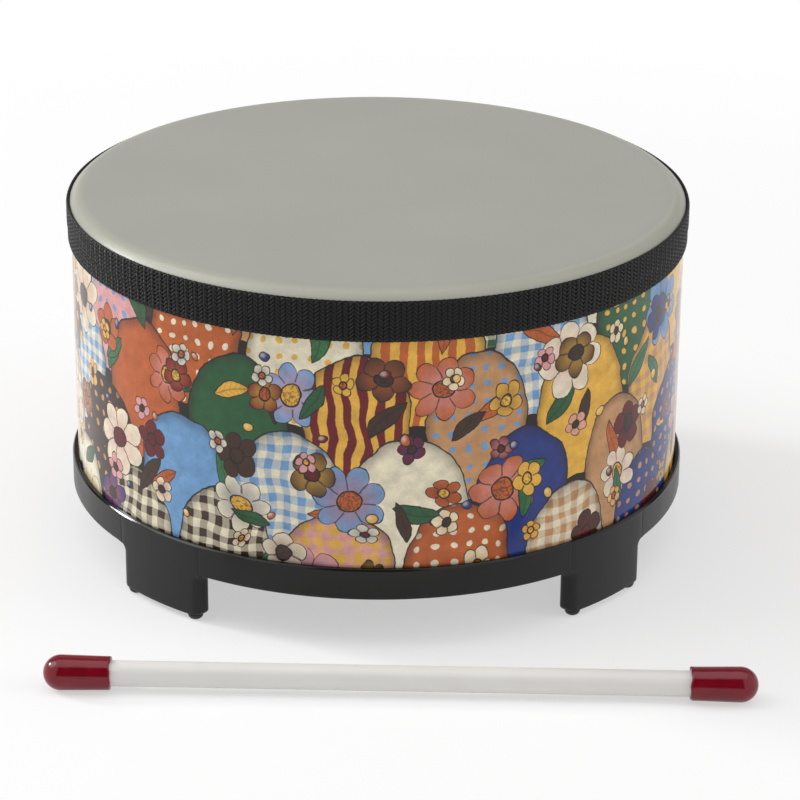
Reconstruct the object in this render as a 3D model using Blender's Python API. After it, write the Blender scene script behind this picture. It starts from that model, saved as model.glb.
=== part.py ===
"""Children's floor tom with its mallet, as separate solids in metres, +Z up, standing on z = 0.

A wound fibre shell wears a printed wrap, and its head is glued over the rounded top edge, with
a band of webbing over the join. The lower edge stands in the channel of a moulded base ring,
which has four feet with two rubber bumpers each. The mallet is a plastic rod with two dipped
caps, and lies on the floor in front. The origin is the middle of the footprint of them all.
"""

import math

import bmesh
import bpy

# Fit between two pieces that touch
SEAT_GAP = 0.0003

# Round pieces: segments of the drum's large rings, of the mallet and of small pieces
DRUM_SEGMENTS = 72
MALLET_SEGMENTS = 24
SMALL_SEGMENTS = 12
SHARP_ANGLE = math.radians(35)

# Corners of the drum's rings nearer to an open end than this share of a step are left out
NEAR_END = 0.02

# Drum: the outside of the wrap, and the playing face's height above the floor
WRAP_RADIUS = 0.1270
DRUM_HEIGHT = 0.1488

# Shell and wrap
WRAP_THICKNESS = 0.0003
WRAP_SEAM = 0.0006
SHELL_WALL = 0.0060
EDGE_CHAMFER = 0.0009
SHELL_RADIUS = WRAP_RADIUS - WRAP_THICKNESS - SEAT_GAP
SHELL_BORE = SHELL_RADIUS - SHELL_WALL

# Head: its rounded collar and the skirt that is glued down the shell
HEAD_THICKNESS = 0.0006
COLLAR_WIDTH = 0.0060
COLLAR_DROP = 0.0036
SKIRT_DEPTH = 0.0125
COLLAR_STEPS = 5
HEAD_RADIUS = SHELL_RADIUS + SEAT_GAP + HEAD_THICKNESS
SKIRT_BOTTOM = DRUM_HEIGHT - SKIRT_DEPTH
SHELL_TOP = DRUM_HEIGHT - HEAD_THICKNESS - SEAT_GAP

# Webbing band: woven tape over the skirt and the top of the wrap, lapped at the back
BAND_WIDTH = 0.0168
BAND_THICKNESS = 0.0011
BAND_DROP = 0.0029
BAND_ROUND = 0.0004
BAND_STEP = 0.0020
BAND_LAP = 0.0180
BAND_RAMP = 0.0040
BAND_TOP = DRUM_HEIGHT - BAND_DROP
BAND_BOTTOM = BAND_TOP - BAND_WIDTH
BAND_LIFT = BAND_THICKNESS + SEAT_GAP
LAP_RADIUS = HEAD_RADIUS + SEAT_GAP + BAND_LIFT + BAND_THICKNESS

# Base ring: a channel for the shell's lower edge
RING_HEIGHT = 0.0119
RING_WALL = 0.00215
RING_FLOOR = 0.0025
RING_LIP = 0.0005
INNER_WALL = 0.0020
INNER_WALL_HEIGHT = 0.0105
RING_RADIUS = WRAP_RADIUS + SEAT_GAP + RING_WALL
CHANNEL_BORE = SHELL_BORE - SEAT_GAP
RING_BORE = CHANNEL_BORE - INNER_WALL

# Feet: blocks below the ring, flush with its outside and cored out from behind
FOOT_HEIGHT = 0.0187
FOOT_WIDTH = 0.0444
FOOT_DEPTH = 0.00745
FOOT_CORNER = 0.0030
FOOT_BACK_CORNER = 0.0012
FOOT_FILLET = 0.0035
FOOT_TOE = 0.0018
FOOT_EDGE = 0.0007
FOOT_TURNS = [math.radians(angle) for angle in (-135, -45, 45, 135)]

# Bends, in degrees, at which the feet's rounded corners, toes and fillets have a point
FOOT_CORNER_BENDS = (28, 44, 60, 75, 90)
FOOT_BACK_BENDS = (90, 120, 150)
FOOT_TOE_BENDS = (20, 45, 70, 90)
FOOT_FILLET_BENDS = (90, 65, 40, 18, 0)

# Pockets that core out the feet
POCKET_DEPTH = 0.0045
POCKET_RIB = 0.0024
POCKET_FLOOR = 0.0025
POCKET_ROOF = 0.0020

# Rubber bumpers: a domed head with a stem that is pushed into the foot
BUMPER_PROUD = 0.0025
BUMPER_RADIUS = 0.0032
BUMPER_FLAT = 0.0014
BUMPER_DOME_BENDS = (30, 60, 90)
BUMPER_STEM_RADIUS = 0.0015
BUMPER_STEM = 0.0050
BUMPER_INSET = 0.0049
BOSS_WALL = 0.0020

# Screws through the ring's inner wall into the shell, one above each foot
SCREW_RADIUS = 0.0015
SCREW_HEAD_RADIUS = 0.0032
SCREW_HEAD_HEIGHT = 0.0022
SCREW_SIDE_HEIGHT = 0.0011
SCREW_CROWN_RADIUS = 0.0024
SCREW_CROWN_HEIGHT = 0.0020
SCREW_TOP_RADIUS = 0.0011
SCREW_BITE = 0.0040
SCREW_POINT = 0.0012
SCREW_TIP_RADIUS = 0.0005

# Mallet: rod, caps and where it lies
MALLET_LENGTH = 0.2735
ROD_RADIUS = 0.0050
ROD_CHAMFER = 0.0005
CAP_RADIUS = 0.0069
CAP_MOUTH_RADIUS = 0.00655
CAP_LENGTH = 0.0262
CAP_TIP_WALL = 0.0035
CAP_LIP = 0.0005
CAP_DOME_STEPS = 6
MALLET_DISTANCE = 0.1678
MALLET_SHIFT = 0.0036
MALLET_TURN = math.radians(-3.6)

# Heights that follow from the sizes above
FOOT_BOTTOM = BUMPER_PROUD
RING_BOTTOM = FOOT_BOTTOM + FOOT_HEIGHT
RING_TOP = RING_BOTTOM + RING_HEIGHT
CHANNEL_FLOOR = RING_BOTTOM + RING_FLOOR
SHELL_BOTTOM = CHANNEL_FLOOR + SEAT_GAP
INNER_WALL_TOP = CHANNEL_FLOOR + INNER_WALL_HEIGHT
FOOT_BACK = RING_RADIUS - FOOT_DEPTH
SCREW_HEIGHT = (CHANNEL_FLOOR + INNER_WALL_TOP) / 2
SCREW_HOLE_RADIUS = SCREW_RADIUS + SEAT_GAP
SOCKET_RADIUS = BUMPER_STEM_RADIUS + SEAT_GAP
SOCKET_TOP = FOOT_BOTTOM + BUMPER_STEM

# The drum's back, and how far cutters pass the walls that they cut
BACK = math.pi / 2
CUTTER_REACH = 0.0100


def footprint_centre():
    """Where the middle of the footprint lies, seen from the drum's axis."""
    half_rod = MALLET_LENGTH / 2 - CAP_RADIUS
    reach_x = half_rod * math.cos(MALLET_TURN) + CAP_RADIUS
    reach_y = half_rod * abs(math.sin(MALLET_TURN)) + CAP_RADIUS
    left = min(-RING_RADIUS, MALLET_SHIFT - reach_x)
    right = max(RING_RADIUS, MALLET_SHIFT + reach_x)
    front = min(-RING_RADIUS, -MALLET_DISTANCE - reach_y)
    return (left + right) / 2, (front + LAP_RADIUS) / 2


def clear_scene():
    for old in list(bpy.data.objects):
        bpy.data.objects.remove(old, do_unlink=True)


def material(name, color, roughness, metallic=0.0):
    """A Principled material with this colour."""
    made = bpy.data.materials.new(name)
    made.use_nodes = True
    shader = made.node_tree.nodes["Principled BSDF"]
    shader.inputs["Base Color"].default_value = (*color, 1.0)
    shader.inputs["Roughness"].default_value = roughness
    shader.inputs["Metallic"].default_value = metallic
    made.diffuse_color = (*color, 1.0)
    return made


def empty(name, location, turn=0.0):
    """A guide that pieces are parented to."""
    guide = bpy.data.objects.new(name, None)
    guide.location = location
    guide.rotation_euler = (0.0, 0.0, turn)
    bpy.context.scene.collection.objects.link(guide)
    return guide


def mesh_from(bm, name):
    """The bmesh as a mesh with its faces outwards, smooth but for its edges."""
    bmesh.ops.recalc_face_normals(bm, faces=bm.faces)
    mesh = bpy.data.meshes.new(name)
    bm.to_mesh(mesh)
    bm.free()
    mesh.shade_smooth()
    mesh.set_sharp_from_angle(angle=SHARP_ANGLE)
    return mesh


def place(name, mesh, parent, finish=None, location=(0.0, 0.0, 0.0), rotation=(0.0, 0.0, 0.0)):
    """A named object with this mesh under its parent."""
    placed = bpy.data.objects.new(name, mesh)
    placed.location = location
    placed.rotation_euler = rotation
    placed.parent = parent
    if finish and finish.name not in mesh.materials:
        mesh.materials.append(finish)
    bpy.context.scene.collection.objects.link(placed)
    return placed


def cut(target, name, cutter_mesh, parent):
    """Takes the cutter's shape away from the target."""
    cutter = place(name, cutter_mesh, parent)
    cutter.hide_render = True
    cutter.display_type = "WIRE"
    boolean = target.modifiers.new(name, "BOOLEAN")
    boolean.operation = "DIFFERENCE"
    boolean.solver = "EXACT"
    boolean.object = cutter


def lathe(name, profile, segments):
    """A mesh turned about Z from (radius, height) points that run down its outer side."""
    bm = bmesh.new()
    points = [bm.verts.new((radius, 0.0, height)) for radius, height in profile]
    pairs = list(zip(points, points[1:]))
    if profile[0][0] > 0:
        pairs.append((points[-1], points[0]))
    edges = [bm.edges.new(pair) for pair in pairs]
    bmesh.ops.spin(
        bm,
        geom=points + edges,
        axis=(0, 0, 1),
        cent=(0, 0, 0),
        steps=segments,
        angle=math.tau,
        use_merge=True,
    )
    bmesh.ops.remove_doubles(bm, verts=bm.verts, dist=1e-6)
    return mesh_from(bm, name)


def loft(bm, rings):
    """Skins rings of points, each as long as the next, and caps both ends."""
    rows = [[bm.verts.new(point) for point in ring] for ring in rings]
    for low, high in zip(rows, rows[1:]):
        for index in range(len(low)):
            after = (index + 1) % len(low)
            bm.faces.new((low[index], low[after], high[after], high[index]))
    bm.faces.new(list(reversed(rows[0])))
    bm.faces.new(rows[-1])


def round_the_drum(angle, section):
    """The section's (radius, height) points at an angle about the drum's axis."""
    return [
        (radius * math.cos(angle), radius * math.sin(angle), height) for radius, height in section
    ]


def whole_steps(start, end):
    """Angles from start to end, with every corner of the drum's rings between them."""
    step = math.tau / DRUM_SEGMENTS
    first = math.floor(start / step) + 1
    last = math.ceil(end / step) - 1
    inner = [index * step for index in range(first, last + 1)]
    near = step * NEAR_END
    inner = [angle for angle in inner if angle - start > near and end - angle > near]
    return [start, *inner, end]


def collar(offset):
    """A quarter ellipse from the collar's lower end up to the flat of the head, this far inside it."""
    centre = HEAD_RADIUS - COLLAR_WIDTH
    base = DRUM_HEIGHT - COLLAR_DROP
    points = []
    for step in range(COLLAR_STEPS + 1):
        rise = math.pi / 2 * step / COLLAR_STEPS
        out = (COLLAR_WIDTH - offset) * math.cos(rise)
        up = (COLLAR_DROP - offset) * math.sin(rise)
        points.append((centre + out, base + up))
    return points


def head_mesh():
    """Flat film, rounded collar and skirt, all of one thickness."""
    outside = [(0.0, DRUM_HEIGHT), *reversed(collar(0.0)), (HEAD_RADIUS, SKIRT_BOTTOM)]
    inside = [(HEAD_RADIUS - HEAD_THICKNESS, SKIRT_BOTTOM), *collar(HEAD_THICKNESS)]
    bottom = (0.0, DRUM_HEIGHT - HEAD_THICKNESS)
    return lathe("head", [*outside, *inside, bottom], DRUM_SEGMENTS)


def shell_mesh():
    """A tube whose top edge follows the collar and is chamfered on the bore side."""
    edge = list(reversed(collar(HEAD_THICKNESS + SEAT_GAP)))
    profile = [
        *edge,
        (SHELL_RADIUS, SHELL_BOTTOM),
        (SHELL_BORE, SHELL_BOTTOM),
        (SHELL_BORE, SHELL_TOP - EDGE_CHAMFER),
        (SHELL_BORE + EDGE_CHAMFER / 2, SHELL_TOP),
    ]
    return lathe("shell", profile, DRUM_SEGMENTS)


def wrap_mesh():
    """A thin band round the shell, open along a narrow seam at the back."""
    top = SKIRT_BOTTOM - SEAT_GAP
    inner = WRAP_RADIUS - WRAP_THICKNESS
    section = [
        (WRAP_RADIUS, top),
        (WRAP_RADIUS, SHELL_BOTTOM),
        (inner, SHELL_BOTTOM),
        (inner, top),
    ]
    half = WRAP_SEAM / 2 / WRAP_RADIUS
    angles = whole_steps(BACK + half, BACK + math.tau - half)
    bm = bmesh.new()
    loft(bm, [round_the_drum(angle, section) for angle in angles])
    return mesh_from(bm, "wrap")


def band_section(lift):
    """The tape's outline: its upper part lies over the head's skirt, its lower part on the wrap."""
    low = WRAP_RADIUS + SEAT_GAP + lift
    high = HEAD_RADIUS + SEAT_GAP + lift
    step_high = SKIRT_BOTTOM - SEAT_GAP
    step_low = step_high - SEAT_GAP
    return [
        (high + BAND_ROUND, BAND_TOP),
        (high + BAND_THICKNESS - BAND_ROUND, BAND_TOP),
        (high + BAND_THICKNESS, BAND_TOP - BAND_ROUND),
        (high + BAND_THICKNESS, step_high + BAND_STEP / 2),
        (low + BAND_THICKNESS, step_high - BAND_STEP / 2),
        (low + BAND_THICKNESS, BAND_BOTTOM + BAND_ROUND),
        (low + BAND_THICKNESS - BAND_ROUND, BAND_BOTTOM),
        (low + BAND_ROUND, BAND_BOTTOM),
        (low, BAND_BOTTOM + BAND_ROUND),
        (low, step_low),
        (high, step_high),
        (high, BAND_TOP - BAND_ROUND),
    ]


def band_mesh():
    """The tape once round the drum, then up over its own start and on to the end of the lap."""
    radius = HEAD_RADIUS + SEAT_GAP
    start = BACK - BAND_LAP / 2 / radius
    ramp_end = start + math.tau - BAND_ROUND / radius
    ramp_start = ramp_end - BAND_RAMP / radius
    end = start + math.tau + BAND_LAP / radius
    angles = whole_steps(start, ramp_start) + whole_steps(ramp_end, end)
    bm = bmesh.new()
    rings = []
    for angle in angles:
        lift = BAND_LIFT if angle >= ramp_end else 0.0
        rings.append(round_the_drum(angle, band_section(lift)))
    loft(bm, rings)
    return mesh_from(bm, "band")


def ring_mesh():
    """The channel ring with a skirt as deep as the feet, before the gaps are cut."""
    profile = [
        (RING_RADIUS - RING_LIP, RING_TOP),
        (RING_RADIUS, RING_TOP - RING_LIP),
        (RING_RADIUS, FOOT_BOTTOM + FOOT_EDGE),
        (RING_RADIUS - FOOT_EDGE, FOOT_BOTTOM),
        (FOOT_BACK + FOOT_EDGE, FOOT_BOTTOM),
        (FOOT_BACK, FOOT_BOTTOM + FOOT_EDGE),
        (FOOT_BACK, RING_BOTTOM),
        (RING_BORE, RING_BOTTOM),
        (RING_BORE, INNER_WALL_TOP),
        (CHANNEL_BORE, INNER_WALL_TOP),
        (CHANNEL_BORE, CHANNEL_FLOOR),
        (RING_RADIUS - RING_WALL, CHANNEL_FLOOR),
        (RING_RADIUS - RING_WALL, RING_TOP),
    ]
    return lathe("ring", profile, DRUM_SEGMENTS)


def arc(centre, radius, bends):
    """Points on an arc at these bends, in degrees."""
    turns = [math.radians(bend) for bend in bends]
    return [
        (centre[0] + radius * math.cos(turn), centre[1] + radius * math.sin(turn))
        for turn in turns
    ]


def foot_end(half_width):
    """Plan of a foot's end face from outside to inside: (along the foot's radius, across it)."""
    across = half_width - FOOT_CORNER
    outer = (math.sqrt((RING_RADIUS - FOOT_CORNER) ** 2 - across**2), across)
    across = half_width - FOOT_BACK_CORNER
    inner = (math.sqrt((FOOT_BACK + FOOT_BACK_CORNER) ** 2 - across**2), across)
    front = arc(outer, FOOT_CORNER, FOOT_CORNER_BENDS)
    rear = arc(inner, FOOT_BACK_CORNER, FOOT_BACK_BENDS)
    outside = (front[0][0] + CUTTER_REACH, front[0][1])
    inside = (rear[-1][0] - CUTTER_REACH, rear[-1][1])
    return [outside, *front, *rear, inside]


def gap_levels():
    """(height, how much wider a foot is there) up a gap: toe, straight wall, fillet."""
    levels = [(FOOT_BOTTOM - CUTTER_REACH, -FOOT_TOE)]
    for degrees in FOOT_TOE_BENDS:
        bend = math.radians(degrees)
        rise = FOOT_TOE * (1 - math.cos(bend))
        levels.append((FOOT_BOTTOM + rise, -FOOT_TOE * (1 - math.sin(bend))))
    for degrees in FOOT_FILLET_BENDS:
        bend = math.radians(degrees)
        drop = FOOT_FILLET * (1 - math.cos(bend))
        levels.append((RING_BOTTOM - drop, FOOT_FILLET * (1 - math.sin(bend))))
    return levels


def gap_cutter_mesh():
    """Four bodies, each the space between two feet that stand at right angles to each other."""
    bm = bmesh.new()
    for turn in FOOT_TURNS:
        along = (math.cos(turn), math.sin(turn))
        across = (-along[1], along[0])
        rings = []
        for height, wider in gap_levels():
            side = foot_end(FOOT_WIDTH / 2 + wider)
            far = RING_RADIUS + CUTTER_REACH
            plan = side + [(v, u) for u, v in reversed(side)] + [(far, far)]
            rings.append(
                [
                    (u * along[0] + v * across[0], u * along[1] + v * across[1], height)
                    for u, v in plan
                ]
            )
        loft(bm, rings)
    return mesh_from(bm, "gap_cutter")


def bumper_places():
    """(turn of the foot, place along its radius, place across it) of each bumper."""
    across = FOOT_WIDTH / 2 - BUMPER_INSET
    middle = RING_RADIUS - FOOT_DEPTH / 2
    along = math.sqrt(middle**2 - across**2)
    return [(turn, along, side * across) for turn in FOOT_TURNS for side in (-1, 1)]


def on_foot(turn, along, across):
    """A point given from a foot's own radius, seen from the drum's axis."""
    return (
        along * math.cos(turn) - across * math.sin(turn),
        along * math.sin(turn) + across * math.cos(turn),
    )


def add_box(bm, turn, along, across, height):
    """A box between two limits each way, turned with a foot."""
    low, high = height
    corners = [(across[0], low), (across[1], low), (across[1], high), (across[0], high)]
    rings = []
    for depth in along:
        rings.append([(*on_foot(turn, depth, side), level) for side, level in corners])
    loft(bm, rings)


def pocket_cutter_mesh():
    """Two pockets behind each foot, on both sides of a rib and short of the bumpers' bosses."""
    bm = bmesh.new()
    inner = POCKET_RIB / 2
    outer = FOOT_WIDTH / 2 - BUMPER_INSET - SOCKET_RADIUS - BOSS_WALL
    height = (FOOT_BOTTOM + POCKET_FLOOR, RING_BOTTOM - POCKET_ROOF)
    along = (FOOT_BACK - CUTTER_REACH, FOOT_BACK + POCKET_DEPTH)
    for turn in FOOT_TURNS:
        add_box(bm, turn, along, (inner, outer), height)
        add_box(bm, turn, along, (-outer, -inner), height)
    return mesh_from(bm, "pocket_cutter")


def circle(radius, segments):
    """Points of a circle about the origin."""
    turns = [math.tau * index / segments for index in range(segments)]
    return [(radius * math.cos(turn), radius * math.sin(turn)) for turn in turns]


def socket_cutter_mesh():
    """A blind hole up into the foot for each bumper's stem."""
    bm = bmesh.new()
    for turn, along, across in bumper_places():
        x, y = on_foot(turn, along, across)
        ring = [(x + a, y + b) for a, b in circle(SOCKET_RADIUS, SMALL_SEGMENTS)]
        loft(bm, [[(*point, height) for point in ring] for height in (-CUTTER_REACH, SOCKET_TOP)])
    return mesh_from(bm, "socket_cutter")


def screw_cutter_mesh():
    """A hole through the inner wall and part of the shell for each screw."""
    bm = bmesh.new()
    end = SHELL_BORE + SCREW_BITE + SEAT_GAP
    for turn in FOOT_TURNS:
        ring = circle(SCREW_HOLE_RADIUS, SMALL_SEGMENTS)
        rings = []
        for depth in (RING_BORE - CUTTER_REACH, end):
            rings.append([(*on_foot(turn, depth, a), SCREW_HEIGHT + b) for a, b in ring])
        loft(bm, rings)
    return mesh_from(bm, "screw_cutter")


def bumper_mesh():
    """Stem and domed head with a small flat, its origin on the floor."""
    seat = BUMPER_PROUD - SEAT_GAP
    dome = [(BUMPER_RADIUS, seat)]
    for degrees in BUMPER_DOME_BENDS:
        bend = math.radians(degrees)
        out = BUMPER_FLAT + (BUMPER_RADIUS - BUMPER_FLAT) * math.cos(bend)
        dome.append((out, seat * (1 - math.sin(bend))))
    stem_top = SOCKET_TOP - SEAT_GAP
    profile = [
        (0.0, stem_top),
        (BUMPER_STEM_RADIUS, stem_top),
        (BUMPER_STEM_RADIUS, seat),
        *dome,
        (0.0, 0.0),
    ]
    return lathe("bumper", profile, SMALL_SEGMENTS)


def screw_mesh():
    """Pan head below z = 0 and a pointed shank above it."""
    length = INNER_WALL + 2 * SEAT_GAP + SCREW_BITE
    profile = [
        (0.0, length),
        (SCREW_TIP_RADIUS, length),
        (SCREW_RADIUS, length - SCREW_POINT),
        (SCREW_RADIUS, 0.0),
        (SCREW_HEAD_RADIUS, 0.0),
        (SCREW_HEAD_RADIUS, -SCREW_SIDE_HEIGHT),
        (SCREW_CROWN_RADIUS, -SCREW_CROWN_HEIGHT),
        (SCREW_TOP_RADIUS, -SCREW_HEAD_HEIGHT),
        (0.0, -SCREW_HEAD_HEIGHT),
    ]
    return lathe("screw", profile, SMALL_SEGMENTS)


def rod_mesh():
    """The mallet's rod along Z, its middle at the origin."""
    half = MALLET_LENGTH / 2 - CAP_TIP_WALL - SEAT_GAP
    profile = [
        (0.0, half),
        (ROD_RADIUS - ROD_CHAMFER, half),
        (ROD_RADIUS, half - ROD_CHAMFER),
        (ROD_RADIUS, -half + ROD_CHAMFER),
        (ROD_RADIUS - ROD_CHAMFER, -half),
        (0.0, -half),
    ]
    return lathe("rod", profile, MALLET_SEGMENTS)


def cap_mesh():
    """A sleeve with a domed end up Z, its tip half the mallet's length from the origin."""
    tip = MALLET_LENGTH / 2
    mouth = tip - CAP_LENGTH
    bore = ROD_RADIUS + SEAT_GAP
    dome = []
    for step in range(CAP_DOME_STEPS + 1):
        bend = math.pi / 2 * step / CAP_DOME_STEPS
        out = CAP_RADIUS * math.sin(bend)
        dome.append((out, tip - CAP_RADIUS + CAP_RADIUS * math.cos(bend)))
    profile = [
        *dome,
        (CAP_MOUTH_RADIUS, mouth + CAP_LIP),
        (CAP_MOUTH_RADIUS - CAP_LIP, mouth),
        (bore, mouth),
        (bore, tip - CAP_TIP_WALL),
        (0.0, tip - CAP_TIP_WALL),
    ]
    return lathe("cap", profile, MALLET_SEGMENTS)


def build_drum(axis):
    """The drum's pieces under its axis."""
    place("head_skin", head_mesh(), axis, material("grey_head", (0.37, 0.37, 0.33), 0.6))
    place("head_band", band_mesh(), axis, material("black_webbing", (0.014, 0.014, 0.013), 0.85))
    place("shell_wrap", wrap_mesh(), axis, material("printed_wrap", (0.16, 0.06, 0.05), 0.2))
    shell = place("shell", shell_mesh(), axis, material("fibre_shell", (0.30, 0.20, 0.12), 0.75))
    ring = place("base_ring", ring_mesh(), axis, material("black_plastic", (0.02, 0.02, 0.02), 0.4))
    cut(ring, "foot_gap_cutter", gap_cutter_mesh(), axis)
    cut(ring, "foot_pocket_cutter", pocket_cutter_mesh(), axis)
    cut(ring, "bumper_socket_cutter", socket_cutter_mesh(), axis)
    cut(ring, "ring_screw_cutter", screw_cutter_mesh(), axis)
    cut(shell, "shell_screw_cutter", screw_cutter_mesh(), axis)


def build_bumpers(axis):
    """Two bumpers under each foot."""
    rubber = material("black_rubber", (0.012, 0.012, 0.012), 0.6)
    mesh = bumper_mesh()
    for number, (turn, along, across) in enumerate(bumper_places(), start=1):
        x, y = on_foot(turn, along, across)
        place(f"foot_bumper_{number}", mesh, axis, rubber, (x, y, 0.0), (0.0, 0.0, turn))


def build_screws(axis):
    """One screw above each foot, its head inside the drum."""
    steel = material("zinc_steel", (0.45, 0.45, 0.44), 0.35, metallic=1.0)
    mesh = screw_mesh()
    for number, turn in enumerate(FOOT_TURNS, start=1):
        x, y = on_foot(turn, RING_BORE - SEAT_GAP, 0.0)
        rotation = (0.0, math.pi / 2, turn)
        place(f"base_screw_{number}", mesh, axis, steel, (x, y, SCREW_HEIGHT), rotation)


def build_mallet(middle):
    """Rod and caps along X of the mallet's own guide."""
    white = material("white_rod", (0.66, 0.65, 0.62), 0.35)
    red = material("red_cap", (0.16, 0.002, 0.010), 0.25)
    along_x = (0.0, math.pi / 2, 0.0)
    against_x = (0.0, -math.pi / 2, 0.0)
    place("mallet_rod", rod_mesh(), middle, white, rotation=along_x)
    mesh = cap_mesh()
    place("mallet_cap_right", mesh, middle, red, rotation=along_x)
    place("mallet_cap_left", mesh, middle, red, rotation=against_x)


def main():
    clear_scene()
    x, y = footprint_centre()
    axis = empty("drum_axis", (-x, -y, 0.0))
    build_drum(axis)
    build_bumpers(axis)
    build_screws(axis)
    mallet_middle = (MALLET_SHIFT - x, -MALLET_DISTANCE - y, CAP_RADIUS)
    build_mallet(empty("mallet_middle", mallet_middle, MALLET_TURN))


main()
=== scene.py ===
"""The looks of a children's floor tom and its mallet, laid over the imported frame.

Every piece is a surface worked out from a few named sizes, in metres, and stands for one CAD node.
The pieces that are turned share one idea: a profile of (radius, height) points is carried round an
axis. The webbing, the base ring and its feet are grids of their own, welded where they meet.
"""

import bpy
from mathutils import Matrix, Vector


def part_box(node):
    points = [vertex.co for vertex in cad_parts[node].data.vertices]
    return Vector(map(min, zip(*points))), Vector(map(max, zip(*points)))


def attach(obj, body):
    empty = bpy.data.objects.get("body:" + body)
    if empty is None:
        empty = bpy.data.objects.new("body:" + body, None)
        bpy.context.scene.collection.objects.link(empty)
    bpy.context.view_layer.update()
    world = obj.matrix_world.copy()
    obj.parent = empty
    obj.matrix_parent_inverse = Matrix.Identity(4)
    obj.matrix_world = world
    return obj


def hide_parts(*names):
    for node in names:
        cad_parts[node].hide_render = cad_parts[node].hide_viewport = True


bl_info = {
    "name": "Floor Tom",
    "version": (1, 0, 0),
    "blender": (4, 5, 0),
    "location": "3D View > Sidebar > Floor Tom",
    "description": "Builds the pieces of a children's floor tom and its mallet, and a plain studio",
    "category": "Object",
}

import math

import bmesh
import bpy
import numpy as np
from bpy.props import FloatProperty, FloatVectorProperty, IntProperty, PointerProperty
from mathutils import Matrix, Vector

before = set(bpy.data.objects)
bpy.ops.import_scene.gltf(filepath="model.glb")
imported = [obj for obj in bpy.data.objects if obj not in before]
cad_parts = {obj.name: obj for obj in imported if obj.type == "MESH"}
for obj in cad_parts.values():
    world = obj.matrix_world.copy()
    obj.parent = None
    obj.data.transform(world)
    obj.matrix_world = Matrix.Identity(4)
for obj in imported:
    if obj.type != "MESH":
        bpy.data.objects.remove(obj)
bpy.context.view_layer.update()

# Boxes of the CAD nodes that the pieces stand for
HEAD_LOW, HEAD_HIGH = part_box("head_skin")
BAND_LOW, BAND_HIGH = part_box("head_band")
WRAP_LOW, WRAP_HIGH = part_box("shell_wrap")
SHELL_LOW, SHELL_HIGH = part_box("shell")
RING_LOW, RING_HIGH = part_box("base_ring")
ROD_LOW, ROD_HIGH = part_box("mallet_rod")

# The drum's axis, and the radii and heights that the boxes give
AXIS = np.array([(HEAD_LOW.x + HEAD_HIGH.x) / 2, (HEAD_LOW.y + HEAD_HIGH.y) / 2, 0.0])
HEAD_RADIUS = (HEAD_HIGH.x - HEAD_LOW.x) / 2
WRAP_RADIUS = (WRAP_HIGH.x - WRAP_LOW.x) / 2
SHELL_RADIUS = (SHELL_HIGH.x - SHELL_LOW.x) / 2
RING_RADIUS = (RING_HIGH.x - RING_LOW.x) / 2
BAND_RADIUS = (BAND_HIGH.x - BAND_LOW.x) / 2
HEAD_TOP = HEAD_HIGH.z
SKIRT_BOTTOM = HEAD_LOW.z
RING_TOP = RING_HIGH.z
FOOT_BOTTOM = RING_LOW.z

# Sizes of hidden features, as in the CAD model
SEAT_GAP = 0.0003
HEAD_THICKNESS = 0.0006
WRAP_THICKNESS = 0.0003
WRAP_SEAM = 0.0006
BAND_THICKNESS = 0.0011
BAND_LAP = 0.018
BAND_RAMP = 0.004
SHELL_BORE = 0.1204
CHANNEL_BORE = 0.1201
RING_BORE = 0.1181
RING_WALL = 0.00215
RING_BOTTOM = 0.0212
CHANNEL_FLOOR = 0.0237
INNER_WALL_TOP = 0.0342
FOOT_DEPTH = 0.00745
FOOT_BACK = RING_RADIUS - FOOT_DEPTH
FOOT_BACK_CORNER = 0.0028
POCKET_DEPTH = 0.0045
POCKET_SIDES = (0.0012, 0.0133)
POCKET_LEVELS = np.array([0.0051, 0.0191])
BUMPER_INSET = 0.0049
BUMPER_SEAT = 0.0022
BUMPER_FLAT = 0.0014
STEM_RADIUS = 0.0015
STEM_TOP = 0.0072
SCREW_HEIGHT = 0.02895
FOOT_TURNS = np.radians([-135.0, -45.0, 45.0, 135.0])
BACK = math.pi / 2
MIRROR = np.array([1.0, -1.0])

# Half the step between a foot's back and its pocket, and the points on a foot's front corner
BORDER = 0.0001
FRONT_STEPS = 9

# The mallet's middle, how it is turned on the floor, and its sizes
CAP_RADIUS = 0.0069
CAP_WALL = 0.0035
MALLET_MIDDLE = np.array([(ROD_LOW.x + ROD_HIGH.x) / 2, (ROD_LOW.y + ROD_HIGH.y) / 2, CAP_RADIUS])
MALLET_TURN = math.radians(-3.6)
MALLET_LENGTH = 0.2735


def srgb(red, green, blue):
    """A colour given as 0 to 255 on a screen, as the linear numbers that shaders take."""
    share = np.array([red, green, blue]) / 255
    linear = np.where(share <= 0.04045, share / 12.92, ((share + 0.055) / 1.055) ** 2.4)
    return tuple(float(value) for value in linear)


def colour_property(name, description, default):
    return FloatVectorProperty(
        name=name, description=description, default=default, subtype="COLOR", min=0.0, max=1.0
    )


def length_property(name, description, default):
    return FloatProperty(
        name=name,
        description=description,
        default=default,
        min=0.0,
        precision=5,
        subtype="DISTANCE",
        unit="LENGTH",
    )


def share_property(name, description, default):
    return FloatProperty(
        name=name, description=description, default=default, min=0.0, max=1.0, subtype="FACTOR"
    )


def power_property(name, description, default):
    return FloatProperty(name=name, description=description, default=default, min=0.0, unit="POWER")


# Shapes


def circle(radius, angles):
    """Plan points at a radius: x = radius cos angle, y = radius sin angle."""
    return np.stack([radius * np.cos(angles), radius * np.sin(angles)], -1)


def at_height(plan, height):
    """Plan points, or radii, with one height beside each."""
    return np.column_stack([plan, np.full(len(plan), height)])


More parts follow.
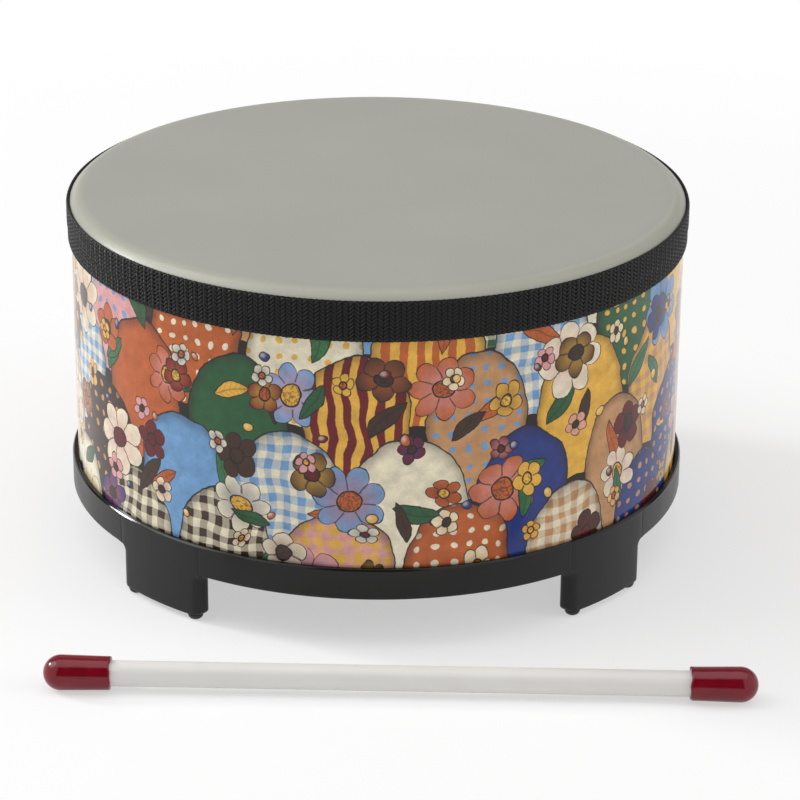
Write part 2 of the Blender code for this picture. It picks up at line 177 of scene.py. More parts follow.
def rounded(corners, closed=True, steps=6, support=0.0003):
    """A profile with arcs at its corners, each given as (radius, height, bend).

    A corner's arc touches both sides at bend / tan(half the corner's angle) from the corner, and its
    middle lies bend / sin(half the angle) inside. A point on each side just past the arc keeps the
    shading flat there.
    """
    data = np.array(corners, float)
    point, bend = data[:, :2], data[:, 2]
    before, after = np.roll(point, 1, 0), np.roll(point, -1, 0)
    if not closed:
        before[0] = 2 * point[0] - point[1]
        after[-1] = 2 * point[-1] - point[-2]
    side_before = np.linalg.norm(before - point, axis=1)
    side_after = np.linalg.norm(after - point, axis=1)
    to_before = (before - point) / side_before[:, None]
    to_after = (after - point) / side_after[:, None]
    half = np.arccos(np.clip((to_before * to_after).sum(1), -1, 1)) / 2
    reach = bend / np.tan(np.minimum(half, math.pi / 2 - 1e-6))
    inwards = to_before + to_after
    inwards /= np.maximum(np.linalg.norm(inwards, axis=1), 1e-9)[:, None]
    middle = point + inwards * (bend / np.sin(half))[:, None]
    start = point + to_before * reach[:, None]
    end = point + to_after * reach[:, None]
    sweep = np.maximum(math.pi - 2 * half, 1e-6)[:, None, None]
    share = np.linspace(0, 1, steps + 1)[None, :, None]
    first = np.sin((1 - share) * sweep) / np.sin(sweep)
    second = np.sin(share * sweep) / np.sin(sweep)
    arc = middle[:, None] + first * (start - middle)[:, None] + second * (end - middle)[:, None]
    past = np.minimum(support, (side_before - reach - np.roll(reach, 1)) / 3)
    ahead = np.minimum(support, (side_after - reach - np.roll(reach, -1)) / 3)
    lead = (start + to_before * past[:, None])[:, None]
    tail = (end + to_after * ahead[:, None])[:, None]
    points = np.concatenate([lead, arc, tail], 1).reshape(-1, 2)
    if not closed:
        points = points[steps + 2 : -steps - 2]
        points[0], points[-1] = point[0], point[-1]
    keep = np.r_[True, np.linalg.norm(np.diff(points, axis=0), axis=1) > 1e-7]
    return points[keep]


def turned(profile, angles):
    """A profile of (radius, height) carried round Z."""
    radius, height = np.asarray(profile, float).T
    plan = circle(radius[:, None], angles)
    return np.dstack([plan, np.broadcast_to(height[:, None], plan.shape[:2])])


def whole_turn(segments):
    return np.arange(segments) * math.tau / segments


def spun(angle, vectors):
    """Points turned about Z by an angle."""
    cosine, sine = math.cos(angle), math.sin(angle)
    x, y, z = np.moveaxis(np.asarray(vectors, float), -1, 0)
    return np.stack([x * cosine - y * sine, x * sine + y * cosine, z], -1)


def smooth_step(value):
    """0 below 0, 1 above 1 and 3 v^2 - 2 v^3 between them."""
    share = np.clip(value, 0, 1)
    return share * share * (3 - 2 * share)


class Skin:
    """Grids and flat faces that are gathered, welded and made into one mesh object."""

    def __init__(self):
        self.points = []
        self.uvs = []
        self.corners = []
        self.sizes = []
        self.count = 0

    def add(self, points, uv=None):
        """Adds points and gives their numbers in the same layout."""
        flat = np.asarray(points, float).reshape(-1, 3)
        index = np.arange(len(flat)) + self.count
        self.points.append(flat)
        self.uvs.append(np.zeros((len(flat), 2)) if uv is None else np.reshape(uv, (-1, 2)))
        self.count += len(flat)
        return index.reshape(np.shape(points)[:-1])

    def faces(self, corners):
        self.corners.append(corners.reshape(-1))
        self.sizes.append(np.full(len(corners), corners.shape[1]))

    def grid(self, points, uv=None, close_rows=False, close_columns=False):
        """Quads between each row and the next and each column and the next."""
        index = self.add(points, uv)
        if close_rows:
            index = np.vstack([index, index[:1]])
        if close_columns:
            index = np.hstack([index, index[:, :1]])
        quads = np.stack([index[:-1, :-1], index[:-1, 1:], index[1:, 1:], index[1:, :-1]], -1)
        self.faces(quads.reshape(-1, 4))

    def flat(self, outline, uv=None):
        """One flat face with this outline."""
        self.faces(self.add(outline, uv)[None])

    def strip(self, points, uv):
        """A closed section carried along an open path, with flat ends."""
        self.grid(points, uv, close_rows=True)
        for end in (0, -1):
            self.flat(points[:, end], uv[:, end])

    def build(self, name, material, sharp=35.0, offset=(0.0, 0.0, 0.0)):
        """The welded mesh, facing outwards, as an object."""
        points = np.concatenate(self.points) + np.asarray(offset)
        corners = np.concatenate(self.corners).astype(np.int32)
        starts = np.r_[0, np.cumsum(np.concatenate(self.sizes))[:-1]].astype(np.int32)
        mesh = bpy.data.meshes.new(name)
        mesh.vertices.add(len(points))
        mesh.vertices.foreach_set("co", points.astype(np.float32).ravel())
        mesh.loops.add(len(corners))
        mesh.loops.foreach_set("vertex_index", corners)
        mesh.polygons.add(len(starts))
        mesh.polygons.foreach_set("loop_start", starts)
        mesh.update(calc_edges=True)
        layer = mesh.uv_layers.new(name="Surface")
        layer.data.foreach_set("uv", np.concatenate(self.uvs)[corners].astype(np.float32).ravel())
        # Collar colour: partly the stretched film's own paler tone, partly painted light for the light
        # the rounded collar catches
        bm = bmesh.new()
        bm.from_mesh(mesh)
        bmesh.ops.remove_doubles(bm, verts=bm.verts, dist=2e-7)
        bmesh.ops.recalc_face_normals(bm, faces=bm.faces)
        bm.to_mesh(mesh)
        bm.free()
        mesh.shade_smooth()
        mesh.set_sharp_from_angle(angle=math.radians(sharp))
        mesh.materials.append(material)
        made = bpy.data.objects.new(name, mesh)
        bpy.context.scene.collection.objects.link(made)
        return made

    def piece(self, name, material, node, sharp=35.0, offset=AXIS, body="drum"):
        """The object, riding a body and standing for a node."""
        made = self.build(name, material, sharp, offset)
        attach(made, body)
        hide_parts(node)


# Materials


class Value:
    """A node's output. Signs between values, or a value and a number, add the maths nodes."""

    def __init__(self, nodes, socket):
        self.nodes = nodes
        self.socket = socket

    def __add__(self, other):
        return self.nodes.math("ADD", self, other)

    def __sub__(self, other):
        return self.nodes.math("SUBTRACT", self, other)

    def __rsub__(self, other):
        return self.nodes.math("SUBTRACT", other, self)

    def __mul__(self, other):
        return self.nodes.math("MULTIPLY", self, other)

    def __truediv__(self, other):
        return self.nodes.math("DIVIDE", self, other)

    def __abs__(self):
        return self.nodes.math("ABSOLUTE", self)

    def from_half(self):
        """How far the value's fraction lies from a half."""
        return abs(self.nodes.math("FRACT", self) - 0.5)


class Nodes:
    """A node tree, with short ways to add to it."""

    def __init__(self, tree):
        self.tree = tree

    def feed(self, socket, value):
        if isinstance(value, Value):
            self.tree.links.new(value.socket, socket)
        elif isinstance(value, tuple) and len(value) == 3 and len(socket.default_value) == 4:
            socket.default_value = (*value, 1.0)
        else:
            socket.default_value = value

    def node(self, kind, inputs, **settings):
        made = self.tree.nodes.new(kind)
        number = len(self.tree.nodes)
        made.location = (-220 - 220 * (number % 14), 300 - 240 * (number // 14))
        for key, value in settings.items():
            setattr(made, key, value)
        for place, value in inputs.items():
            self.feed(made.inputs[place], value)
        return made

    def value(self, kind, inputs, output=0, **settings):
        """A new node's output."""
        return Value(self, self.node(kind, inputs, **settings).outputs[output])

    def math(self, operation, *values, clamp=False):
        inputs = dict(enumerate(values))
        return self.value("ShaderNodeMath", inputs, operation=operation, use_clamp=clamp)

    def vector(self, operation, *values):
        return self.value("ShaderNodeVectorMath", dict(enumerate(values)), operation=operation)

    def length(self, *parts):
        """The length of a vector, or of the one that two numbers make."""
        vector = self.join(*parts) if len(parts) > 1 else parts[0]
        return self.value("ShaderNodeVectorMath", {0: vector}, "Value", operation="LENGTH")

    def scaled(self, vector, scale):
        return self.value("ShaderNodeVectorMath", {0: vector, "Scale": scale}, operation="SCALE")

    def split(self, vector):
        made = self.node("ShaderNodeSeparateXYZ", {0: vector})
        return [Value(self, socket) for socket in made.outputs]

    def join(self, x, y, z=0.0):
        return self.value("ShaderNodeCombineXYZ", {0: x, 1: y, 2: z})

    def noise(self, vector, scale, detail=3.0, roughness=0.5, output=0):
        inputs = {"Vector": vector, "Scale": scale, "Detail": detail, "Roughness": roughness}
        return self.value("ShaderNodeTexNoise", inputs, output)

    def drawn_noise(self, vector, scales):
        """Noise of another fineness each way."""
        return self.noise(self.vector("MULTIPLY", vector, scales), 1.0, 3.0, 0.6)

    def dice(self, column, row, seed):
        """Four random numbers for a cell."""
        made = self.node("ShaderNodeTexWhiteNoise", {0: self.join(column, row, seed)})
        return *self.split(Value(self, made.outputs["Color"])), Value(self, made.outputs["Value"])

    def line(self, value, low, high, start=0.0, end=1.0, shape="LINEAR"):
        """A straight change from start at low to end at high."""
        inputs = {0: value, 1: low, 2: high, 3: start, 4: end}
        return self.value("ShaderNodeMapRange", inputs, interpolation_type=shape)

    def step(self, value, low, high, start=0.0, end=1.0):
        """A smooth change from start at low to end at high."""
        return self.line(value, low, high, start, end, "SMOOTHSTEP")

    def wave(self, noise, start, end):
        """The middle part of a noise, spread from start to end."""
        return self.line(noise, 0.3, 0.7, start, end)

    def mix(self, factor, first, second):
        inputs = {0: factor, 6: first, 7: second}
        return self.value("ShaderNodeMix", inputs, 2, data_type="RGBA")

    def ramp(self, factor, colours):
        """Equal steps of flat colour."""
        made = self.node("ShaderNodeValToRGB", {0: factor})
        band = made.color_ramp
        band.interpolation = "CONSTANT"
        band.elements.remove(band.elements[1])
        band.elements[0].position = 0.0
        band.elements[0].color = (*colours[0], 1.0)
        for number, colour in enumerate(colours[1:], start=1):
            band.elements.new(number / len(colours)).color = (*colour, 1.0)
        return Value(self, made.outputs[0])

    def bump(self, height, distance, strength=1.0, below=None):
        inputs = {"Height": height, "Distance": distance, "Strength": strength}
        if below is not None:
            inputs["Normal"] = below
        return self.value("ShaderNodeBump", inputs)

    def blend(self, factor, first, second, output):
        """Mixes two shaders into the tree's output node."""
        made = self.node("ShaderNodeMixShader", {0: factor, 1: first, 2: second})
        self.tree.links.new(made.outputs[0], self.tree.nodes[output].inputs[0])

    def seen(self):
        """1 where the camera, a mirrored ray or a ray through glass looks, and 0 for light."""
        path = self.node("ShaderNodeLightPath", {})
        camera, glossy, through = (
            Value(self, path.outputs[f"Is {kind} Ray"]) for kind in ("Camera", "Glossy", "Transmission")
        )
        return self.math("ADD", camera + glossy, through, clamp=True)


class Finish(Nodes):
    """A material with its main shader."""

    def __init__(self, name):
        self.material = bpy.data.materials.new(name)
        self.material.use_nodes = True
        super().__init__(self.material.node_tree)
        self.shader = self.tree.nodes["Principled BSDF"]

    def here(self):
        """The piece's own coordinates in metres."""
        return self.value("ShaderNodeTexCoord", {}, "Object")

    def place(self):
        """The same, from the drum's axis."""
        return self.vector("SUBTRACT", self.here(), tuple(AXIS.tolist()))

    def surface(self):
        """The piece's own UV map."""
        return self.value("ShaderNodeUVMap", {}, uv_map="Surface")

    def finish(self, **sockets):
        for name, value in sockets.items():
            self.feed(self.shader.inputs[name.replace("_", " ")], value)
        return self.material


def film_finish(settings):
    """Matt grey film with a faint fibrous texture, smoother where it is pulled over the edge. Its colour
    is lighter on the collar: partly the stretched film's paler tone, partly painted light where the
    rounded collar catches the lamps.
    """
    f = Finish("Grey drumhead film")
    place = f.place()
    x, y, _ = f.split(place)
    collar = f.step(f.length(x, y), HEAD_RADIUS - 0.0070, HEAD_RADIUS - 0.0035)
    cloud = f.noise(place, 22.0)
    grain = f.drawn_noise(place, (900.0, 2600.0, 900.0)) * f.drawn_noise(place, (2400.0, 800.0, 900.0))
    tone = f.wave(cloud, 0.975, 1.025) * f.line(grain, 0.1, 0.45, 0.965, 1.03)
    # Painted light: the collar's colour is lighter, partly for its stretched film and partly for the
    # light its rounding catches
    film = f.mix(collar, tuple(settings.film), tuple(settings.stretched_and_painted_light))
    rough = f.line(collar, 0.0, 1.0, 0.52, 0.36) + f.line(grain, 0.1, 0.45, 0.03, -0.03)
    return f.finish(
        Base_Color=f.scaled(film, tone),
        Roughness=rough,
        Normal=f.bump(grain, 0.00004, 0.5, f.bump(cloud, 0.00008, 0.5)),
    )


def webbing_finish(settings):
    """Black polyester yarn: filaments along each stroke, with painted shade in the hollows between
    strokes and where strokes dive at a leg's border, and painted light on the stroke tops.

    The map is legs along the tape and rows down it. Tops = |sin(pi row)|, border = |frac(leg) - 0.5|.
    """
    f = Finish("Black woven webbing")
    surface = f.surface()
    leg, row, _ = f.split(surface)
    tops = abs(f.math("SINE", row * math.pi))
    filament = f.math("SINE", row * (8 * math.pi))
    fuzz = f.drawn_noise(surface, (2.6, 3.0, 1.0))
    # Painted light and shade: the colour runs from dark in the hollows between strokes to bright on their
    # tops
    tone = f.line(tops, 0.1, 1.0, 0.1, 1.3) * f.wave(fuzz, 0.7, 1.3)
    # Painted shade: darker at each leg's border, where the strokes dive
    tone = tone * f.step(leg.from_half(), 0.3, 0.48, 1.0, 0.1)
    return f.finish(
        Base_Color=f.scaled(tuple(settings.yarn), tone),
        Roughness=0.42,
        Specular_IOR_Level=0.35,
        Normal=f.bump(filament * 0.3 + fuzz, 0.00006, 0.8),
    )


def board_finish(settings):
    """Wound fibre board: its plies' edges run round the bore in a long spiral."""
    f = Finish("Wound fibre board")
    place = f.place()
    x, y, z = f.split(place)
    angle = f.math("ARCTAN2", y, x)
    turns = z / 0.075 + angle / math.tau
    seam = f.step(turns.from_half(), 0.004, 0.012, 1.0, 0.0)
    fibre = f.noise(f.join(angle * 9.0, turns * 160.0), 1.0, 5.0, 0.6)
    speck = f.noise(place, 900.0, 2.0, 0.6)
    dark, pale, deep = (tuple(value * share for value in settings.board) for share in (0.72, 1.22, 0.4))
    colour = f.mix(f.wave(fibre, 0.0, 1.0), dark, pale)
    colour = f.mix(f.step(speck, 0.62, 0.75, 0.0, 0.35), colour, dark)
    colour = f.mix(seam * 0.65, colour, deep)
    return f.finish(
        Base_Color=colour,
        Roughness=0.82,
        Specular_IOR_Level=0.2,
        Normal=f.bump(fibre * 0.25 - seam, 0.00025, 0.7),
    )


def plastic_finish(settings):
    """Satin moulded plastic with fine grain and faint flow marks, and a glossier upper lip."""
    f = Finish("Black moulded plastic")
    place = f.place()
    grain = f.noise(place, 2600.0, 2.0, 0.6)
    flow = f.noise(place, 60.0)
    satin = f.wave(flow, settings.roughness - 0.03, settings.roughness + 0.04)
    height = f.split(place)[2]
    lip = f.step(height, RING_TOP - 0.0014, RING_TOP - 0.0006, 0.0, settings.roughness - 0.09)
    return f.finish(
        Base_Color=f.scaled(tuple(settings.plastic), f.wave(flow, 0.92, 1.08)),
        Roughness=satin - lip,
        Specular_IOR_Level=0.32,
        Normal=f.bump(grain, 0.00002, 0.6, f.bump(flow, 0.0002, 0.25)),
    )


def grained_finish(name, colour, noise, tones, depth, strength, rough, **sockets):
    """One noise that tints the colour between two tones, dents it and may vary its roughness."""
    f = Finish(name)
    grain = f.noise(f.place(), *noise)
    return f.finish(
        Base_Color=f.scaled(tuple(colour), f.wave(grain, *tones)),
        Roughness=f.wave(grain, *rough) if isinstance(rough, tuple) else rough,
        Normal=f.bump(grain, depth, strength),
        **sockets,
    )


def rubber_finish(settings):
    noise = (1800.0, 3.0, 0.6)
    return grained_finish(
        "Black rubber", settings.rubber, noise, (0.8, 1.25), 0.00004, 0.6, 0.5, Specular_IOR_Level=0.4
    )


def steel_finish(settings):
    """Bright zinc plating with fine turning marks."""
    noise = (700.0, 3.0, 0.6)
    return grained_finish(
        "Zinc plated steel", settings.steel, noise, (0.9, 1.08), 0.00002, 0.4, (0.26, 0.4), Metallic=1.0
    )


def vinyl_finish(settings):
    """Dipped vinyl: deep gloss over slow waves where it ran before it set."""
    noise, tones = (150.0, 2.0, 0.4), (0.9, 1.1)
    return grained_finish(
        "Deep red dipped vinyl", settings.cap, noise, tones, 0.0004, 0.35, 0.16, Specular_IOR_Level=0.42
    )


def rod_finish(settings):
    """Milky plastic with faint drawing lines along the rod."""
    f = Finish("Milky white plastic")
    surface = f.surface()
    drawn = f.drawn_noise(surface, (14.0, 900.0, 1.0))
    tone = f.wave(f.noise(surface, 60.0, 2.0), 0.985, 1.015) * f.wave(drawn, 0.99, 1.01)
    return f.finish(
        Base_Color=f.scaled(tuple(settings.rod), tone),
        Roughness=0.38,
        Specular_IOR_Level=0.4,
        Normal=f.bump(drawn, 0.00003, 0.4),
    )


# The wrap's print, in millimetres


class Print:
    """Layers of motifs over one another, drawn in ink and laid out by random cells."""

    def __init__(self, f, place, ink):
        self.f = f
        self.place = place
        self.ink = ink
        self.colour = None

    def lay(self, inside, colour, low=0.3, high=0.65):
        """Adds a motif where inside is over 0, with an ink line that ends between low and high."""
        f = self.f
        colour = f.mix(f.step(inside, low, high, 1.0, 0.0), colour, self.ink)
        if self.colour is not None:
            colour = f.mix(f.step(inside, -0.1, 0.15), self.colour, colour)
        self.colour = colour

    def scatter(self, cell, seed, drift):
        """Staggered cells. Gives a point's place from its cell's shifted middle, and four dice."""
        f = self.f
        across, up, _ = f.split(self.place)
        rise = up / cell[1] + seed * 0.37
        row = f.math("FLOOR", rise)
        run = across / cell[0] + (row * 0.5 + seed * 0.73)
        column = f.math("FLOOR", run)
        dice = f.dice(column, row, seed)
        x = (run - column - 0.5) * cell[0] - (dice[0] - 0.5) * (drift * cell[0])
        y = (rise - row - 0.5) * cell[1] - (dice[1] - 0.5) * (drift * cell[0])
        return x, y, dice

    def hills(self, palette, cell, above):
        """Overlapping rounded patches of cloth in rows, each with a round top.

        A patch reaches up to height tall x sqrt(1 - (x / half width)^2) over its row's base line. It
        is plain, striped, checked or dotted, from |frac(place / repeat) - 0.5| across and up.
        """
        f = self.f
        repeat = 6.5
        across, up, _ = f.split(self.place)
        rise = up / cell[1]
        row = f.math("FLOOR", rise) + above
        run = across / cell[0] + row * 0.43
        column = f.math("FLOOR", run)
        x = (run - column - 0.5) * cell[0]
        y = (rise - row) * cell[1]
        one, two, three, four = f.dice(column, row, 5.0)
        width = f.line(one, 0.0, 1.0, cell[0] * 0.42, cell[0] * 0.5)
        tall = f.line(two, 0.0, 1.0, cell[1] * 0.72, cell[1])
        inside = (1.0 - f.length(x / width, f.math("MAXIMUM", y / tall, 0.0))) * (cell[0] * 0.45)
        across, upright = (x / repeat).from_half(), (y / repeat).from_half()
        stripe = f.step(across, 0.23, 0.27)
        check = (stripe + f.step(upright, 0.23, 0.27)) * 0.5
        dot = f.step(f.length(across, upright), 0.22, 0.18)
        cloth = stripe * f.math("LESS_THAN", abs(three - 0.5), 0.07)
        cloth = f.math("MAXIMUM", cloth, check * f.math("GREATER_THAN", three, 0.8))
        cloth = f.math("MAXIMUM", cloth, dot * f.math("LESS_THAN", three, 0.28))
        second = f.ramp(f.math("FRACT", four * 7.3), palette[1])
        colour = f.mix(cloth, f.ramp(four, palette[0]), second)
        colour = f.mix(f.step(inside, 0.0, 5.0, 0.5, 0.0), colour, self.ink)
        self.lay(inside, colour, 0.35, 0.75)

    def leaves(self, palette, cell, seed, length):
        """Leaves turned each its own way: half width = length x 0.36 x (1 - (x / length)^2)."""
        f = self.f
        x, y, dice = self.scatter(cell, seed, 0.35)
        inputs = {"Vector": f.join(x, y), "Angle": dice[2] * math.tau}
        x, y, _ = f.split(f.value("ShaderNodeVectorRotate", inputs, rotation_type="Z_AXIS"))
        side = abs(y)
        share = x / length
        inside = (1.0 - share * share) * (length * 0.36) - side
        vein = f.step(((x - side * 0.9) / (length * 0.26)).from_half(), 0.05, 0.1, 0.75, 0.0)
        rib = f.step(side, 0.18, 0.4, 1.0, 0.0)
        colour = f.ramp(dice[3], palette)
        self.lay(inside, f.mix(f.math("MAXIMUM", vein, rib), colour, f.mix(0.45, colour, self.ink)))

    def flowers(self, palette, cell, seed, size, petals):
        """Rosettes: edge = size x (0.66 + 0.34 |cos(petals x angle / 2)| ^ 0.7), with a round heart."""
        f = self.f
        x, y, dice = self.scatter(cell, seed, 0.3)
        far = f.length(x, y)
        angle = dice[0] * math.tau + f.math("ARCTAN2", y, x)
        lobe = abs(f.math("COSINE", angle * (petals / 2)))
        reach = f.line(dice[1], 0.0, 1.0, 0.8, 1.15) * size
        inside = reach * (f.math("POWER", lobe, 0.7) * 0.34 + 0.66) - far
        fold = f.step(lobe * far * (2 / petals), 0.16, 0.42, 1.0, 0.0)
        fold = fold * f.step(far, size * 0.3, size * 0.36)
        tip = f.line(far / reach, 0.35, 1.0, 0.45, 0.0)
        colour = f.mix(tip, f.ramp(dice[2], palette[0]), f.ramp(dice[3], palette[1]))
        colour = f.mix(fold * 0.8, colour, self.ink)
        heart = reach * 0.3 - far
        seeds = f.step(f.noise(self.place, 1.1, 1.0), 0.45, 0.6, 0.0, 0.6)
        middle = f.mix(seeds, f.ramp(dice[1], palette[2]), self.ink)
        colour = f.mix(f.step(heart, -0.1, 0.15), colour, middle)
        self.lay(inside, f.mix(f.step(abs(heart), 0.2, 0.45, 1.0, 0.0), colour, self.ink))

    def berries(self, palette, cell, seed, size):
        """Round fruit with a lighter side: inside = size - distance from the fruit's middle."""
        f = self.f
        x, y, dice = self.scatter(cell, seed, 0.4)
        inside = f.line(dice[1], 0.0, 1.0, size * 0.75, size * 1.15) - f.length(x, y)
        light = f.length(x + size * 0.3, y - size * 0.3)
        shine = f.step(light, size * 0.9, size * 0.1, 0.0, 0.45)
        self.lay(inside, f.mix(shine, f.ramp(dice[2], palette), (0.9, 0.85, 0.7)), high=0.6)


def print_finish(settings):
    """Glossy film printed with patches of cloth, leaves, flowers and fruit in ink and watercolour."""
    f = Finish("Printed wrap")
    surface = f.scaled(f.surface(), 1000.0 / settings.scale)
    place = surface
    for fineness, reach in ((0.05, 8.0), (0.38, 0.8)):
        sway = f.vector("SUBTRACT", f.noise(surface, fineness, 1.0, output="Color"), (0.5, 0.5, 0.5))
        place = f.vector("ADD", place, f.scaled(sway, reach))

    def pick(names):
        return [tuple(getattr(settings, name)) for name in names.split()]

    cloths = (
        pick("tan royal yellow maroon cream green rust sky brown yellow brown pink cream"),
        pick("cream sky yellow cream tan yellow"),
    )
    greens = pick("green green brown rust yellow")
    greens[1] = tuple(value * 1.6 for value in greens[1])
    blush, hearts = pick("rust yellow pink royal"), pick("yellow rust maroon brown")
    art = Print(f, place, tuple(settings.ink))
    art.hills(cloths, (48.0, 31.0), 1.0)
    art.hills(cloths, (48.0, 31.0), 0.0)
    art.leaves(greens, (41.0, 35.0), 2.0, 11.0)
    petals = pick("cream yellow cream pink sky cream rust")
    art.flowers((petals, blush, hearts), (57.0, 46.0), 3.0, 15.0, 7)
    art.leaves(greens, (52.0, 43.0), 6.0, 9.0)
    petals = pick("maroon yellow brown rust cream royal")
    art.flowers((petals, hearts, hearts), (43.0, 37.0), 7.0, 8.5, 5)
    petals = pick("cream maroon yellow pink")
    art.flowers((petals, blush, hearts), (39.0, 33.0), 11.0, 5.2, 5)
    art.berries(pick("maroon yellow rust royal"), (37.0, 31.0), 13.0, 2.1)
    tone = f.wave(f.noise(surface, 0.16, 3.0, 0.6), 0.8, 1.12)
    tone = tone * f.wave(f.noise(surface, 1.6, 2.0, 0.6), 0.92, 1.08)
    return f.finish(
        Base_Color=f.scaled(art.colour, tone),
        Roughness=settings.roughness,
        IOR=1.42,
        Normal=f.bump(f.noise(surface, 0.02, 1.0), 0.0006, 0.15),
    )


# Pieces


def collar_profile(settings, inset):
    """The collar's section, from its slope at each length along it, moved in by inset.

    A faint crown, a quick bend, a nearly straight shoulder and a roll into the upright skirt.
    Radius grows by the integral of cos(slope) and height falls by that of sin(slope).
    """
    lengths = np.cumsum([0.0, settings.crown, settings.bend, settings.shoulder, settings.roll])
    slopes = [0.0, 0.08, settings.slope - 0.09, settings.slope + 0.07, math.pi / 2]
    along = np.unique(np.r_[np.linspace(0, lengths[1], 7), np.linspace(*lengths[[1, 4]], 43)])
    slope = np.interp(along, lengths, slopes)
    middle = (slope[1:] + slope[:-1]) / 2
    step = np.diff(along)
    radius = np.r_[0.0, np.cumsum(np.cos(middle) * step)]
    height = HEAD_TOP - np.r_[0.0, np.cumsum(np.sin(middle) * step)]
    radius += HEAD_RADIUS - radius[-1]
    return np.stack([radius - inset * np.sin(slope), height - inset * np.cos(slope)], 1)


def build_head(settings):
    """The film: flat, a rounded collar, a skirt, and the same inside at its thickness."""
    outside = collar_profile(settings, 0.0)
    inside = collar_profile(settings, HEAD_THICKNESS)
    rings = np.array([0.0, 0.03, 0.06, 0.085, 0.1, 0.107, 0.111, 0.1142])
    chamfer = 0.0001
    inner = HEAD_RADIUS - HEAD_THICKNESS
    low, edge = outside[-1, 1] - 0.001, SKIRT_BOTTOM + 2 * chamfer
    hem = [
        (HEAD_RADIUS, low),
        (HEAD_RADIUS, edge),
        (HEAD_RADIUS - chamfer, SKIRT_BOTTOM),
        (inner + chamfer, SKIRT_BOTTOM),
        (inner, edge),
        (inner, low),
    ]
    top, bottom = at_height(rings, HEAD_TOP), at_height(rings[::-1], HEAD_TOP - HEAD_THICKNESS)
    skin = Skin()
    profile = np.concatenate([top, outside, hem, inside[::-1], bottom])
    skin.grid(turned(profile, whole_turn(240)), close_columns=True)
    skin.piece("playing_head", film_finish(settings), "head_skin")


def build_webbing(settings):
    """Herringbone tape: strokes run down its face in zigzag rows, with a groove between the legs.

    A stroke's rise is |sin(pi x row)| ^ 0.6, and falls to nothing at each leg's borders. Its rows
    shift up and down with a triangle wave along the tape. Past a margin at each edge the rows are
    squeezed, by 1 - exp(-distance / margin). The tape goes once round, then over its own start.
    """
    margin, groove_share, fray = 0.05, 0.18, 0.00022
    step_place, step_run, edge_bend = SKIRT_BOTTOM - 0.0013, 0.002, 0.0003
    middle = BAND_RADIUS - BAND_THICKNESS / 2
    start = BACK - BAND_LAP / 2 / middle
    length = math.tau * middle + BAND_LAP
    count = 2 * round(length / settings.zigzag)
    legs = (np.arange(count)[:, None] + [0.0, groove_share, 0.5, 1 - groove_share]).ravel()
    legs = np.append(legs, count)
    along = legs * length / count
    angle = start + along / middle
    across = legs % 1.0
    zigzag = np.where(np.floor(legs) % 2 == 0, across, 1 - across)
    groove = np.clip(np.minimum(across, 1 - across) / groove_share, 0, 1)
    lift = (BAND_THICKNESS + SEAT_GAP) * smooth_step((along - math.tau * middle) / BAND_RAMP + 1)

    row = (np.arange(-1, settings.rows + 1)[:, None] + [0.0, 0.22, 0.5, 0.78]).ravel()
    row = row[(row > -0.8) & (row < settings.rows + 0.8)]
    stroke = np.abs(np.sin(math.pi * row)) ** 0.6
    top, bottom = BAND_HIGH.z - 0.0002, BAND_LOW.z + 0.0002
    wanted = row[:, None] / settings.rows + (zigzag - 0.5) * settings.slant / (bottom - top)
    kept = np.clip(wanted, margin, 1 - margin)
    squeeze = np.exp(-np.abs(wanted - kept) / margin)
    share = kept + np.sign(wanted - kept) * margin * (1 - squeeze)
    height = top + (bottom - top) * share
    rise = stroke[:, None] * (0.1 + 0.9 * groove) * squeeze + 0.5 * (1 - squeeze)
    edge_round = edge_bend * (1 - smooth_step(np.minimum(share, 1 - share) * 30))
    low, high = WRAP_RADIUS + SEAT_GAP, HEAD_RADIUS + SEAT_GAP
    base = low + (high - low) * smooth_step((height - step_place) / step_run) + lift
    radius = base + BAND_THICKNESS - settings.relief * (1 - rise) - edge_round
    notch = fray * (0.5 + 0.5 * np.cos(math.tau * legs))
    flat = np.ones_like(lift)
    edges = []
    for limit, sign, under in ((BAND_LOW.z, 1, low), (BAND_HIGH.z, -1, high)):
        tip = limit + sign * notch
        rows = [(under + lift + BAND_THICKNESS * part, tip) for part in (0.62, 0.3)]
        edges.append([*rows, (under + lift, limit * flat + sign * 0.0004)])
    inside = [
        (low + lift, (SKIRT_BOTTOM - 0.0009) * flat),
        (high + lift, (SKIRT_BOTTOM - 0.0003) * flat),
    ]
    section = [*zip(radius, height), *edges[0], *inside, *edges[1][::-1]]
    radii, heights = (np.array(part) for part in zip(*section))
    points = np.dstack([circle(radii, angle), heights])
    down = np.append(row, np.full(len(section) - len(row), float(settings.rows)))
    uv = np.stack(np.broadcast_arrays(legs, down[:, None]), -1)
    skin = Skin()
    skin.strip(points, uv)
    skin.piece("webbing_band", webbing_finish(settings), "head_band", 80)


def build_wrap(settings):
    """Film round the shell, open at its butt seam: its map is metres round and metres up."""
    inner, bend = WRAP_RADIUS - WRAP_THICKNESS, 0.0001
    corners = [
        (WRAP_RADIUS, WRAP_HIGH.z, bend),
        (WRAP_RADIUS, WRAP_LOW.z, bend),
        (inner, WRAP_LOW.z, bend),
        (inner, WRAP_HIGH.z, bend),
    ]
    profile = rounded(corners, steps=2, support=0.001)
    half = WRAP_SEAM / 2 / WRAP_RADIUS
    angles = np.linspace(BACK + half, BACK + math.tau - half, 361)
    uv = np.stack(np.broadcast_arrays(angles * WRAP_RADIUS, profile[:, 1:]), -1)
    skin = Skin()
    skin.strip(turned(profile, angles), uv)
    skin.piece("printed_wrap", print_finish(settings), "shell_wrap", 50)


